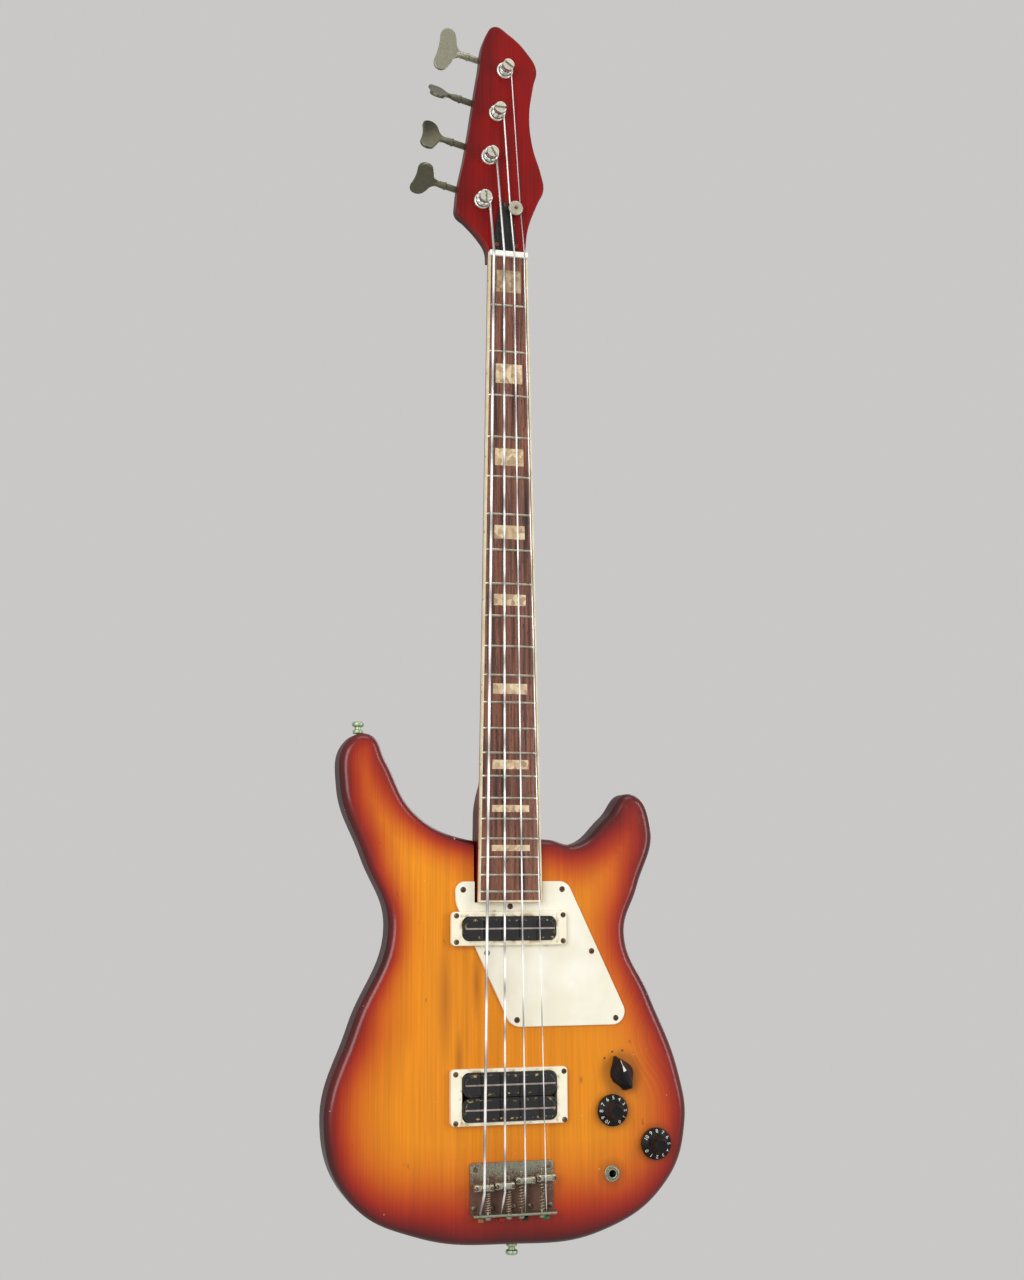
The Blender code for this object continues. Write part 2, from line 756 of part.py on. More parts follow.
def string_route(index):
    """Points of a string from its ball end to the end of its winding."""
    x = saddle_string_x(index)
    y = saddle_string_y(index)
    z = saddle_z(index)
    hole_x = x + HOLE_OFFSETS[index]
    hole_y = wall_top() + STRING_HOLE_DEPTH
    nut_end = (nut_x(index), nut_string_y(index), 0.0)
    slope = (nut_end[1] - y) / -z
    over_nut = (nut_end[0], nut_end[1] + slope * (NUT_THICKNESS + 0.5), NUT_THICKNESS + 0.5)
    route = [
        (hole_x, hole_y, BRIDGE_BACK_Z - BALL_DIAMETER / 2 - SEAT),
        (hole_x, hole_y, WALL_FRONT_Z + 1.0),
        (x, y, z - SADDLE_SHIFT - 1.0),
        (x, y, z),
        nut_end,
        over_nut,
    ]
    if index > 1:
        route.append(retained_point(index))
    route += winding(index, (route[-1][0], route[-1][2]))
    return route


def retained_point(index):
    """Where the retainer holds a thin string down."""
    x, z = POST_PLACES[index]
    share = RETAINER_Z / z
    return (nut_x(index) + (x + coil_radius(index) - nut_x(index)) * share, RETAINER_PULL, RETAINER_Z)


def nearest_turns(points):
    """Least distance between parts of a route that lie a turn or so apart, in millimetres."""
    least = math.inf
    for index, point in enumerate(points):
        for other in points[index + WIND_POINTS // 2:]:
            least = min(least, (Vector(point) - Vector(other)).length)
    return least


def build_string(index, name):
    """One wound string with its ball, as an unbroken wire."""
    radius = STRING_DIAMETERS[index] / 2
    route = string_route(index)
    wire = tube("string_" + name, route, radius, STRING_STEEL)
    ball_y = wall_top() + STRING_HOLE_DEPTH
    ball_z = BRIDGE_BACK_Z - SEAT - BALL_DIAMETER / 2
    ball_x = route[0][0]
    join(wire, cylinder(
        "ball_" + name, (ball_x - 2.5, ball_y, ball_z), (ball_x + 2.5, ball_y, ball_z), BALL_DIAMETER / 2,
        sides=12))
    print("string", name, "least gap to itself", round(nearest_turns(route[6:]) - 2 * radius, 2), "mm")
    return wire


def build_retainer():
    """Round string retainer on its stem."""
    x = (retained_point(2)[0] + retained_point(3)[0]) / 2
    under = RETAINER_PULL - STRING_DIAMETERS[2] / 2 - SEAT
    head = RETAINER_DIAMETER / 2
    stem = RETAINER_STEM / 2
    profile = [
        (0, -under + RETAINER_THICKNESS), (head - 1.2, -under + RETAINER_THICKNESS),
        (head, -under + RETAINER_THICKNESS - 0.9), (head, -under + 0.3), (head - 0.3, -under),
        (stem, -under), (stem, SEAT - WOOD_TOP), (0, SEAT - WOOD_TOP),
    ]
    return turned("string_retainer", profile, (x, 0, RETAINER_Z), (0, -1, 0), NICKEL)


# Tuners

def tuner_frame(index, name):
    """Empty at the foot of a post, with X along the key's shaft."""
    x, z = POST_PLACES[index]
    return frame_at("tuner_" + name, (x, 0, z), (0, math.radians(TUNER_SLOPE), 0))


def build_bushing(name, frame):
    """Flanged sleeve in the headstock's face."""
    bore = POST_DIAMETER / 2 + RUN
    sleeve = bore + BUSHING_SLEEVE_WALL
    flange = BUSHING_FLANGE / 2
    face = SEAT - WOOD_TOP
    top = face + BUSHING_FLANGE_HEIGHT
    profile = [
        (bore, top), (flange - 1.0, top), (flange, top - 0.9), (flange, face), (sleeve, face),
        (sleeve, face - BUSHING_DEPTH), (bore, face - BUSHING_DEPTH),
    ]
    return turned("tuner_bushing_" + name, profile, (0, 0, 0), (0, -1, 0), NICKEL, frame, closed=True)


def wheel_section(y, twist):
    """Outline of the toothed wheel at one depth."""
    points = []
    tip = WHEEL_PITCH_RADIUS + WHEEL_TOOTH_OUT
    root = WHEEL_PITCH_RADIUS - WHEEL_TOOTH_IN
    for tooth in range(WHEEL_TEETH):
        middle = math.pi / 2 + 2 * math.pi * (tooth + 0.5) / WHEEL_TEETH + twist
        corners = (
            (root, -WHEEL_TOOTH_ROOT / 2 / root), (tip, -WHEEL_TOOTH_TIP / 2 / tip),
            (tip, WHEEL_TOOTH_TIP / 2 / tip), (root, WHEEL_TOOTH_ROOT / 2 / root))
        for radius, turn in corners:
            points.append((radius * math.cos(middle + turn), y, radius * math.sin(middle + turn)))
    return points


def build_post(name, frame):
    """Slotted post that carries the worm wheel behind the headstock."""
    radius, waist = POST_DIAMETER / 2, POST_WAIST / 2
    top = POST_HEIGHT - WOOD_TOP
    wheel_front = WORM_Y - WHEEL_WIDTH / 2
    profile = [
        (0, top), (radius - 0.6, top), (radius, top - 0.6), (radius, top - POST_CAP),
        (waist, top - POST_CAP - 0.9), (waist, 1.0 - BUSHING_FRONT), (radius, -BUSHING_FRONT - 0.2),
        (radius, -wheel_front - 1), (0, -wheel_front - 1),
    ]
    post = turned("tuner_post_" + name, profile, (0, 0, 0), (0, -1, 0), NICKEL, frame)
    lead = WORM_PITCH / (2 * math.pi * WORM_PITCH_RADIUS)
    twist = lead * WHEEL_WIDTH / 2 / WHEEL_PITCH_RADIUS
    wheel = loft(
        "wheel_" + name,
        [wheel_section(WORM_Y - WHEEL_WIDTH / 2, twist), wheel_section(WORM_Y + WHEEL_WIDTH / 2, -twist)],
        parent=frame)
    join(post, wheel)
    cut(post, box(
        "post_slot_" + name, (-radius - 1, -top - 1, -POST_SLOT / 2),
        (radius + 1, -top + POST_CAP + 1.5, POST_SLOT / 2), parent=frame))
    return post


def build_plate(name, frame):
    """Back plate with the two ears that hold the worm."""
    width = PLATE_WIDTH / 2
    middle = (PLATE_ABOVE - PLATE_BELOW) / 2
    outline = rounded_rectangle((0, middle), PLATE_WIDTH, PLATE_ABOVE + PLATE_BELOW, 2.5, 1)
    plate = prism("tuner_plate_" + name, outline, HEAD_BACK + SEAT, PLATE_BACK, NICKEL, frame)
    inner = WORM_LENGTH / 2 + 1.0
    ears = []
    for side in (-1, 1):
        near, far = sorted((side * inner, side * (inner + EAR_THICKNESS)))
        ears.append(box(
            "ear_%s_%d" % (name, side), (near, PLATE_BACK - 1, WORM_DISTANCE - EAR_WIDTH / 2),
            (far, WORM_Y + EAR_WIDTH / 2, WORM_DISTANCE + EAR_WIDTH / 2), parent=frame))
    join(plate, *ears)
    cut(plate, cylinder(
        "plate_bore_" + name, (-width - 1, WORM_Y, WORM_DISTANCE), (width + 1, WORM_Y, WORM_DISTANCE),
        KEY_SHAFT_DIAMETER / 2 + RUN, parent=frame, sides=12))
    cut(plate, cylinder(
        "plate_hole_" + name, (0, HEAD_BACK - 1, 0), (0, PLATE_BACK + 1, 0), POST_DIAMETER / 2 + RUN + 0.2,
        parent=frame, sides=14))
    return plate


def worm_thread(name, frame, spin):
    """Trapezoid thread swept round the worm, in the key's own frame."""
    turns = WORM_LENGTH / WORM_PITCH
    steps = round(turns * WORM_STEPS)
    sections = []
    for step in range(steps + 1):
        psi = 2 * math.pi * turns * (step / steps - 0.5)
        middle = WORM_PITCH * psi / (2 * math.pi)
        section = []
        for radius, offset in (
                (WORM_CORE_RADIUS - 0.4, -WORM_THREAD_ROOT / 2), (WORM_OUTER_RADIUS, -WORM_THREAD_TIP / 2),
                (WORM_OUTER_RADIUS, WORM_THREAD_TIP / 2), (WORM_CORE_RADIUS - 0.4, WORM_THREAD_ROOT / 2)):
            angle = psi - spin
            section.append((middle + offset, radius * math.sin(angle), -radius * math.cos(angle)))
        sections.append(section)
    return loft("worm_" + name, sections, parent=frame)


def key_outline():
    """Outline of the key's blade, two round lobes on a waisted stem."""
    span, width = KEY_SPAN / 2, KEY_WIDTH / 2
    stem = KEY_STEM_DIAMETER / 2 - 0.6
    half = [
        (-KEY_REACH + width + 3, stem), (-KEY_REACH + width - 3, stem + 2),
        (-KEY_REACH + width - 6, span * 0.56),
        (-KEY_REACH + width - 9, span * 0.88), (-KEY_REACH - width * 0.36, span),
        (-KEY_REACH - width * 0.95, span * 0.72), (-KEY_REACH - width * 0.9, span * 0.24),
    ]
    return smooth_outline(half + [(x, -z) for x, z in reversed(half)], 2)


def build_key(name, frame, angle):
    """Key with its shaft and the worm cut on it, turning about its own X axis."""
    spin = math.radians(angle)
    pivot = frame_at("key_axis_" + name, (0, WORM_Y, WORM_DISTANCE), (spin, 0, 0), frame)
    ear_outside = WORM_LENGTH / 2 + 1.0 + EAR_THICKNESS
    blade_edge = -KEY_REACH + KEY_WIDTH / 2
    stem, shaft = KEY_STEM_DIAMETER / 2, KEY_SHAFT_DIAMETER / 2
    profile = [
        (0, ear_outside + 1.5), (shaft, ear_outside + 1.5),
        (shaft, WORM_LENGTH / 2 + 0.7), (WORM_CORE_RADIUS, WORM_LENGTH / 2 + 0.7),
        (WORM_CORE_RADIUS, -WORM_LENGTH / 2 - 0.7), (shaft, -WORM_LENGTH / 2 - 0.7),
        (shaft, -ear_outside - 0.5), (stem, -ear_outside - 0.5), (stem, blade_edge + 3), (0, blade_edge - 7),
    ]
    key = turned("tuner_key_" + name, profile, (0, 0, 0), (1, 0, 0), NICKEL, pivot, steps=10)
    blade = prism("blade_" + name, key_outline(), -KEY_THICKNESS / 2, KEY_THICKNESS / 2, parent=pivot)
    round_edges(blade, 0.9, 1)
    join(key, blade, worm_thread(name, pivot, spin))
    return key


def build_tuners():
    """Four open-gear tuners along the headstock's edge."""
    for index, name in enumerate(NAMES):
        frame = tuner_frame(index, name)
        build_bushing(name, frame)
        build_post(name, frame)
        build_plate(name, frame)
        build_key(name, frame, KEY_ANGLES[index])


# Body

def neck_pocket():
    """Cutter for the neck's seat in the body."""
    half = board_half(BOARD_END_Z) + HEEL_FLARE + SEAT
    back = WOOD_TOP + HEEL_DEPTH + SEAT
    mouth = outline_height(0, True) + OVERCUT
    return box(
        "neck_pocket", (-half, BODY_FRONT - OVERCUT, BOARD_END_Z - SEAT), (half, back, mouth))


def build_body():
    """Double-cutaway body with its routes."""
    outline = anticlockwise(smooth_outline(BODY_KNOTS, 4))
    body = slab("body", outline, BODY_FRONT, BODY_BACK, BODY_ROUNDING, SUNBURST)
    cavity = anticlockwise(smooth_outline(CAVITY_KNOTS, 2))
    lid = BODY_FRONT + CAVITY_LID
    cut(body, neck_pocket())
    cut(body, prism("control_cavity", cavity, lid, BODY_BACK + OVERCUT))
    cut(body, prism(
        "cover_recess", grown(cavity, COVER_LIP), BODY_BACK - BACK_COVER_THICKNESS - SEAT,
        BODY_BACK + OVERCUT))
    for name, z, width, ring_y, ring_height in pickup_layout():
        half = COIL_LENGTH / 2 + 2
        back = ring_y - ring_height - COIL_RISE + COIL_HEIGHT + SEAT
        cut(body, box(
            name + "_route", (RING_CENTRE_X - half, BODY_FRONT - OVERCUT, z - width / 2 + 3),
            (RING_CENTRE_X + half, back, z + width / 2 - 3)))
    for name, (x, z), radius in control_holes():
        cut(body, cylinder(name + "_hole", (x, BODY_FRONT - 3, z), (x, lid + 2, z), radius + SEAT + 0.2))
    return body


def pickup_layout():
    """Name, height, ring width, ring seat depth and ring height of each pickup."""
    return (
        ("neck_pickup", NECK_PICKUP_Z, NECK_RING_WIDTH, GUARD_FRONT - SEAT, NECK_RING_HEIGHT),
        ("bridge_pickup", BRIDGE_PICKUP_Z, BRIDGE_RING_WIDTH, BODY_FRONT - SEAT, BRIDGE_RING_HEIGHT),
    )


def control_holes():
    """Name, place and bush radius of each control on the body's front."""
    return (
        ("selector", SELECTOR_PLACE, BUSH_RADIUS), ("volume", VOLUME_PLACE, BUSH_RADIUS),
        ("tone", TONE_PLACE, BUSH_RADIUS), ("jack", JACK_PLACE, JACK_SLEEVE_RADIUS),
    )


def build_pickguard():
    """Cream pickguard with the notch round the neck and the neck pickup's window."""
    guard = prism("pickguard", filleted(GUARD_CORNERS), GUARD_FRONT, GUARD_BACK, CREAM)
    round_edges(guard, 0.7, 1)
    notch = board_half(BOARD_END_Z) + HEEL_FLARE + SEAT
    cut(guard, box(
        "guard_notch", (-notch, GUARD_FRONT - OVERCUT, BOARD_END_Z - SEAT),
        (notch, GUARD_BACK + OVERCUT, GUARD_CORNERS[0][1] + OVERCUT)))
    window = rounded_rectangle(
        (RING_CENTRE_X, NECK_PICKUP_Z), COIL_LENGTH + 3, COIL_WIDTH + 3, COIL_CORNER)
    cut(guard, prism("guard_window", window, GUARD_FRONT - OVERCUT, GUARD_BACK + OVERCUT))
    return guard


def build_ring(name, z, width, seat_y, height, coils):
    """Cream mounting ring of a pickup, with a window for its coils."""
    outline = rounded_rectangle((RING_CENTRE_X, z), RING_LENGTH, width, RING_CORNER)
    ring = prism(name + "_ring", outline, seat_y - height, seat_y, CREAM)
    round_edges(ring, 1.0, 1)
    opening = rounded_rectangle(
        (RING_CENTRE_X, z), COIL_LENGTH + 2 * COIL_CLEARANCE,
        coils * COIL_WIDTH + (coils + 1) * COIL_CLEARANCE, 2.0, 2)
    cut(ring, prism(name + "_window", opening, seat_y - height - OVERCUT, seat_y + OVERCUT))
    return ring


def build_coil(name, z, front):
    """Black bobbin of a pickup, its top raised inside a shoulder, with its steel blade showing."""
    centre = (RING_CENTRE_X, z)
    outline = rounded_rectangle(centre, COIL_LENGTH, COIL_WIDTH, COIL_CORNER)
    coil = prism(name, outline, front + COIL_STEP_HEIGHT, front + COIL_HEIGHT, BLACK)
    raised = rounded_rectangle(
        centre, COIL_LENGTH - 2 * COIL_STEP, COIL_WIDTH - 2 * COIL_STEP, COIL_TOP_CORNER)
    top = prism(name + "_top", raised, front, front + 2 * COIL_STEP_HEIGHT)
    round_edges(top, 0.5, 1)
    join(coil, top)
    half, side = BLADE_LENGTH / 2, BLADE_WIDTH / 2
    join(coil, box(
        name + "_blade", (RING_CENTRE_X - half, front - BLADE_PROUD, z - side),
        (RING_CENTRE_X + half, front + 2, z + side)))
    return coil


def build_pickups():
    """Single coil at the neck and two coils at the bridge, in their rings."""
    neck, bridge = pickup_layout()
    build_ring(*neck, coils=1)
    build_coil("neck_pickup_coil", NECK_PICKUP_Z, neck[3] - neck[4] - COIL_RISE)
    build_ring(*bridge, coils=2)
    step = (COIL_WIDTH + COIL_CLEARANCE) / 2
    front = bridge[3] - bridge[4] - COIL_RISE
    build_coil("bridge_pickup_coil_front", BRIDGE_PICKUP_Z + step, front)
    build_coil("bridge_pickup_coil_rear", BRIDGE_PICKUP_Z - step, front)


# Bridge

def build_bridge_plate():
    """Bent steel plate whose rear wall holds the strings and screws."""
    middle_z = (BRIDGE_FRONT_Z + BRIDGE_BACK_Z) / 2
    outline = rounded_rectangle(
        (BRIDGE_CENTRE_X, middle_z), BRIDGE_WIDTH, BRIDGE_FRONT_Z - BRIDGE_BACK_Z, 3.0, 3)
    plate = prism("bridge_plate", outline, BRIDGE_TOP, BODY_FRONT - SEAT, NICKEL)
    half = BRIDGE_WIDTH / 2
    wall = box(
        "bridge_wall", (BRIDGE_CENTRE_X - half, wall_top(), BRIDGE_BACK_Z),
        (BRIDGE_CENTRE_X + half, BODY_FRONT - SEAT, WALL_FRONT_Z))
    round_edges(wall, 0.9, 1)
    join(plate, wall)
    for index, name in enumerate(NAMES):
        screw_x = saddle_x(index) + SCREW_OFFSETS[index]
        hole_x = saddle_string_x(index) + HOLE_OFFSETS[index]
        hole_y = wall_top() + STRING_HOLE_DEPTH
        ends = (BRIDGE_BACK_Z - 3, WALL_FRONT_Z + 3)
        cut(plate, cylinder(
            "screw_hole_" + name, (screw_x, saddle_y(), ends[0]), (screw_x, saddle_y(), ends[1]),
            INTONATION_RADIUS + SEAT, sides=10))
        cut(plate, cylinder(
            "string_hole_" + name, (hole_x, hole_y, ends[0]), (hole_x, hole_y, ends[1]),
            STRING_DIAMETERS[index] / 2 + SEAT + 0.1, sides=10))
    return plate


def saddle_x(index):
    """Sideways place of a saddle's middle."""
    return BRIDGE_CENTRE_X + (index - 1.5) * SADDLE_PITCH


def build_saddle(index, name):
    """Barrel saddle on its two height screws, bored for the screw that moves it."""
    x, y, z = saddle_x(index), saddle_y(), saddle_z(index)
    half = SADDLE_LENGTH / 2
    saddle = cylinder("saddle_" + name, (x - half, y, z), (x + half, y, z), SADDLE_RADIUS, NICKEL, sides=14)
    move_origin(saddle, (x, y, z))
    for side in (-1, 1):
        foot_x = x + side * HEIGHT_SCREW_OFFSET
        join(saddle, cylinder(
            "height_screw_%s_%d" % (name, side), (foot_x, y, z), (foot_x, BRIDGE_TOP - SEAT, z),
            HEIGHT_SCREW_RADIUS, sides=8))
    screw_x = x + SCREW_OFFSETS[index]
    cut(saddle, cylinder(
        "saddle_bore_" + name, (screw_x, y, z - 10), (screw_x, y, z + 10), INTONATION_RADIUS + SEAT,
        sides=10))
    return saddle


def build_intonation_screw(index, name):
    """Long screw through the wall, the spring and the saddle."""
    x, y = saddle_x(index) + SCREW_OFFSETS[index], saddle_y()
    tip = saddle_z(index) + SADDLE_RADIUS + INTONATION_TIP - BRIDGE_BACK_Z
    head = INTONATION_HEAD / 2
    radius = INTONATION_RADIUS
    profile = [
        (0, tip), (radius - 0.6, tip), (radius, tip - 0.8), (radius, -SEAT), (head, -SEAT),
        (head, -1.4), (head - 0.9, -2.6), (0, -3.0),
    ]
    screw = turned(
        "intonation_screw_" + name, profile, (x, y, BRIDGE_BACK_Z), (0, 0, 1), NICKEL, steps=9)
    cut(screw, box(
        "screw_slot_" + name, (x - head - 1, y - 0.4, BRIDGE_BACK_Z - 4),
        (x + head + 1, y + 0.4, BRIDGE_BACK_Z - 2.0)))
    return screw


def build_spring(index, name):
    """Compression spring between the wall and the saddle, as one unbroken wire."""
    x, y = saddle_x(index) + SCREW_OFFSETS[index], saddle_y()
    low = WALL_FRONT_Z + SEAT
    high = saddle_z(index) - SADDLE_RADIUS - SEAT
    points = [(x + SPRING_RADIUS, y, low)]
    count = SPRING_CURLS * SPRING_POINTS
    for step in range(count + 1):
        angle = 2 * math.pi * step / SPRING_POINTS
        z = low + SPRING_WIRE + (high - low - 2 * SPRING_WIRE) * step / count
        points.append((x + SPRING_RADIUS * math.cos(angle), y + SPRING_RADIUS * math.sin(angle), z))
    points.append((x + SPRING_RADIUS, y, high))
    gap = (high - low - 2 * SPRING_WIRE) / SPRING_CURLS - SPRING_WIRE
    print("spring", name, "least gap to itself", round(gap, 2), "mm")
    return tube("intonation_spring_" + name, points, SPRING_WIRE / 2, STEEL, resolution=0)


def build_bridge():
    """Bridge plate with four saddles, their screws and springs."""
    build_bridge_plate()
    for index, name in enumerate(NAMES):
        build_saddle(index, name)
        build_intonation_screw(index, name)
        build_spring(index, name)


# Controls

def build_control(name, place, radius, height):
    """Potentiometer or switch with its nut on the body's front, bored for the shaft that turns in it."""
    lid = BODY_FRONT + CAVITY_LID
    bore = SHAFT_RADIUS + RUN
    nut_top = -BODY_FRONT + SEAT + CONTROL_NUT_HEIGHT
    back = -lid - SEAT - height
    profile = [
        (0, back + 2), (bore, back + 2), (bore, nut_top), (CONTROL_NUT_RADIUS, nut_top),
        (CONTROL_NUT_RADIUS, SEAT - BODY_FRONT), (BUSH_RADIUS, SEAT - BODY_FRONT),
        (BUSH_RADIUS, -lid - SEAT), (radius, -lid - SEAT), (radius, back), (0, back),
    ]
    return turned(name, profile, (place[0], 0, place[1]), (0, -1, 0), NICKEL)


def knob_floor():
    """Height of a knob's underside, with heights measured towards the player."""
    return -BODY_FRONT + KNOB_FLOAT


def shaft_end(height):
    """Height of the inner end of a shaft in a control of a given height."""
    return -BODY_FRONT - CAVITY_LID - SEAT - height + 2 + SEAT


def build_knob(name, place, control_height):
    """Numbered knob: a skirt under a cone, hollow over the nut, with its shaft."""
    floor = knob_floor()
    top = floor + KNOB_HEIGHT
    hollow = CONTROL_NUT_RADIUS + RUN
    ceiling = -BODY_FRONT + SEAT + CONTROL_NUT_HEIGHT + RUN
    end = shaft_end(control_height)
    profile = [
        (0, top), (KNOB_TOP_RADIUS - 0.6, top), (KNOB_TOP_RADIUS, top - 0.7),
        (KNOB_TOP_RADIUS + 1.6, floor + 7.5),
        (KNOB_RADIUS - 5.6, floor + 4.2), (KNOB_RADIUS, floor + 2.2),
        (KNOB_RADIUS, floor), (hollow, floor), (hollow, ceiling), (SHAFT_RADIUS, ceiling),
        (SHAFT_RADIUS, end), (0, end),
    ]
    return turned(name, profile, (place[0], 0, place[1]), (0, -1, 0), BLACK, steps=16)


def pointer_section(height, shrink):
    """Outline of the pointer knob at a height over its floor, pointing along +X."""
    length, half = POINTER_LENGTH / 2 - shrink, POINTER_WIDTH / 2 - shrink
    side = [
        (length * 1.06, 0.9), (length * 0.55, half * 0.62), (length * 0.15, half),
        (-length * 0.32, half * 0.9), (-length * 0.66, half * 0.45), (-length * 0.94, half * 0.36),
    ]
    points = side + [(x, -z) for x, z in reversed(side)]
    return [(x, z, height) for x, z in points]


def build_pointer():
    """Pointer knob of the selector, with a ridge along its top, and its shaft."""
    frame = frame_at(
        "selector_axis", (SELECTOR_PLACE[0], 0, SELECTOR_PLACE[1]),
        Matrix(((1, 0, 0), (0, 0, -1), (0, 1, 0))).to_euler())
    turn = math.radians(POINTER_ANGLE)
    floor = knob_floor()
    sections = [pointer_section(floor, 0), pointer_section(floor + 4, 0.4)]
    ridge = [(x, z * 0.34, h) for x, z, h in pointer_section(floor + POINTER_HEIGHT - 1.5, 1.6)]
    crest = [(x * 0.96, z * 0.62, h + 1.5) for x, z, h in ridge]
    knob = loft("selector_knob", sections + [ridge, crest], BLACK, frame)
    knob.rotation_euler = (0, 0, turn)
    hollow = cylinder(
        "pointer_hollow", (0, 0, floor - 1),
        (0, 0, -BODY_FRONT + SEAT + CONTROL_NUT_HEIGHT + RUN), CONTROL_NUT_RADIUS + RUN, parent=frame,
        sides=20)
    cut(knob, hollow)
    shaft = cylinder(
        "pointer_shaft", (0, 0, shaft_end(SWITCH_HEIGHT)), (0, 0, floor + 6), SHAFT_RADIUS, parent=frame)
    join(knob, shaft)
    return knob


def build_jack():
    """Output jack with its open bore, and the nut on the body's front."""
    x, z = JACK_PLACE
    lid = BODY_FRONT + CAVITY_LID
    top = -BODY_FRONT + SEAT + JACK_NUT_HEIGHT + 0.3
    bore, sleeve = JACK_BORE_RADIUS, JACK_SLEEVE_RADIUS
    profile = [
        (bore, top - 0.5), (bore + 0.5, top), (sleeve, top), (sleeve, -lid - SEAT),
        (sleeve + 3.3, -lid - SEAT),
        (sleeve + 3.3, -lid - SEAT - 2), (sleeve, -lid - SEAT - 2), (sleeve, -lid - JACK_DEPTH),
        (bore, -lid - JACK_DEPTH),
    ]
    jack = turned("output_jack", profile, (x, 0, z), (0, -1, 0), NICKEL, steps=16, closed=True)
    inner = (sleeve + SEAT) * 1.02
    nut_top = -BODY_FRONT + SEAT + JACK_NUT_HEIGHT
    nut = turned(
        "jack_nut",
        [(inner, nut_top), (JACK_NUT_RADIUS - 0.8, nut_top), (JACK_NUT_RADIUS, nut_top - 0.7),
         (JACK_NUT_RADIUS, SEAT - BODY_FRONT), (inner, SEAT - BODY_FRONT)],
        (x, 0, z), (0, -1, 0), NICKEL, closed=True)
    return jack, nut


def build_controls():
    """Everything that sits in or over the control cavity."""
    build_control("volume_pot", VOLUME_PLACE, POT_RADIUS, POT_HEIGHT)
    build_control("tone_pot", TONE_PLACE, POT_RADIUS, POT_HEIGHT)
    build_control("selector_switch", SELECTOR_PLACE, SWITCH_RADIUS, SWITCH_HEIGHT)
    build_knob("volume_knob", VOLUME_PLACE, POT_HEIGHT)
    build_knob("tone_knob", TONE_PLACE, POT_HEIGHT)
    build_pointer()
    build_jack()


# Plates and strap buttons

def build_back_plates():
    """Cover of the control cavity, and the plate behind the neck."""
    cavity = anticlockwise(smooth_outline(CAVITY_KNOTS, 2))
    cover = prism(
        "control_cover", grown(cavity, COVER_LIP - SEAT), BODY_BACK - BACK_COVER_THICKNESS, BODY_BACK, BLACK)
    plate = prism(
        "neck_plate",
        rounded_rectangle((0, NECK_PLATE_Z), NECK_PLATE_WIDTH, NECK_PLATE_LENGTH, 5),
        BODY_BACK + SEAT, BODY_BACK + SEAT + NECK_PLATE_THICKNESS, NICKEL)
    round_edges(plate, 0.6, 1)
    return cover, plate


def outline_height(x, highest):
    """Highest or lowest point of the body's outline near a sideways place."""
    near = [z for px, z in smooth_outline(BODY_KNOTS, 12) if abs(px - x) < BUTTON_HEAD_DIAMETER * 0.4]
    upper = [z for z in near if z > NECK_PLATE_Z]
    lower = [z for z in near if z < BRIDGE_PICKUP_Z]
    return max(upper) if highest else min(lower)


def build_strap_button(name, x, direction):
    """Waisted strap button with a flat end."""
    foot_z = outline_height(x, direction > 0) + direction * SEAT
    head = BUTTON_HEAD_DIAMETER / 2
    length = BUTTON_LENGTH
    profile = [
        (0, length), (head - 1.2, length), (head, length - 1.1), (head - 0.3, length - 2.4),
        (head * 0.56, length - 4.2), (head * 0.52, 3.0), (head * 0.78, 0), (0, 0),
    ]
    return turned(name, profile, (x, BUTTON_Y, foot_z), (0, 0, direction), NICKEL)


def main():
    """Build every piece."""
    build_neck()
    build_truss_rod()
    build_fingerboard()
    build_binding()
    build_nut()
    build_truss_cover()
    build_retainer()
    build_tuners()
    build_body()
    build_pickguard()
    build_pickups()
    build_bridge()
    for index, name in enumerate(NAMES):
        build_string(index, name)
    build_controls()
    build_back_plates()
    build_strap_button("strap_button_horn", HORN_BUTTON_X, 1)
    build_strap_button("strap_button_tail", TAIL_BUTTON_X, -1)


clear_scene()
PIECES = new_collection("Electric bass guitar")
CUTTERS = new_collection("Cutters")
SUNBURST = new_material("sunburst_lacquer", (0.62, 0.24, 0.03), 0.3)
CHERRY = new_material("cherry_lacquer", (0.33, 0.01, 0.01), 0.3)
ROSEWOOD = new_material("rosewood", (0.09, 0.035, 0.02), 0.5)
CREAM = new_material("cream_plastic", (0.83, 0.78, 0.6), 0.35)
BONE = new_material("white_nut", (0.85, 0.84, 0.8), 0.4)
BLACK = new_material("black_plastic", (0.012, 0.012, 0.013), 0.3)
NICKEL = new_material("aged_nickel", (0.4, 0.38, 0.31), 0.4, 1.0)
STEEL = new_material("steel", (0.45, 0.43, 0.4), 0.45, 1.0)
STRING_STEEL = new_material("wound_steel", (0.6, 0.6, 0.58), 0.35, 1.0)
main()
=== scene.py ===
"""Visible shapes and finishes of a four-string electric bass that hangs by its headstock.

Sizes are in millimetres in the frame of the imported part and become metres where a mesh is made.
The origin is where the strings break over the nut, +Z runs up to the headstock, -Y is the
playing side and +X is the side of the thinnest string.
"""
import logging
import math
from collections.abc import Callable, Iterator, Sequence
from contextlib import contextmanager
from dataclasses import dataclass
from enum import Enum
from functools import partial

import bmesh
import bpy
from mathutils import Matrix, Vector, kdtree


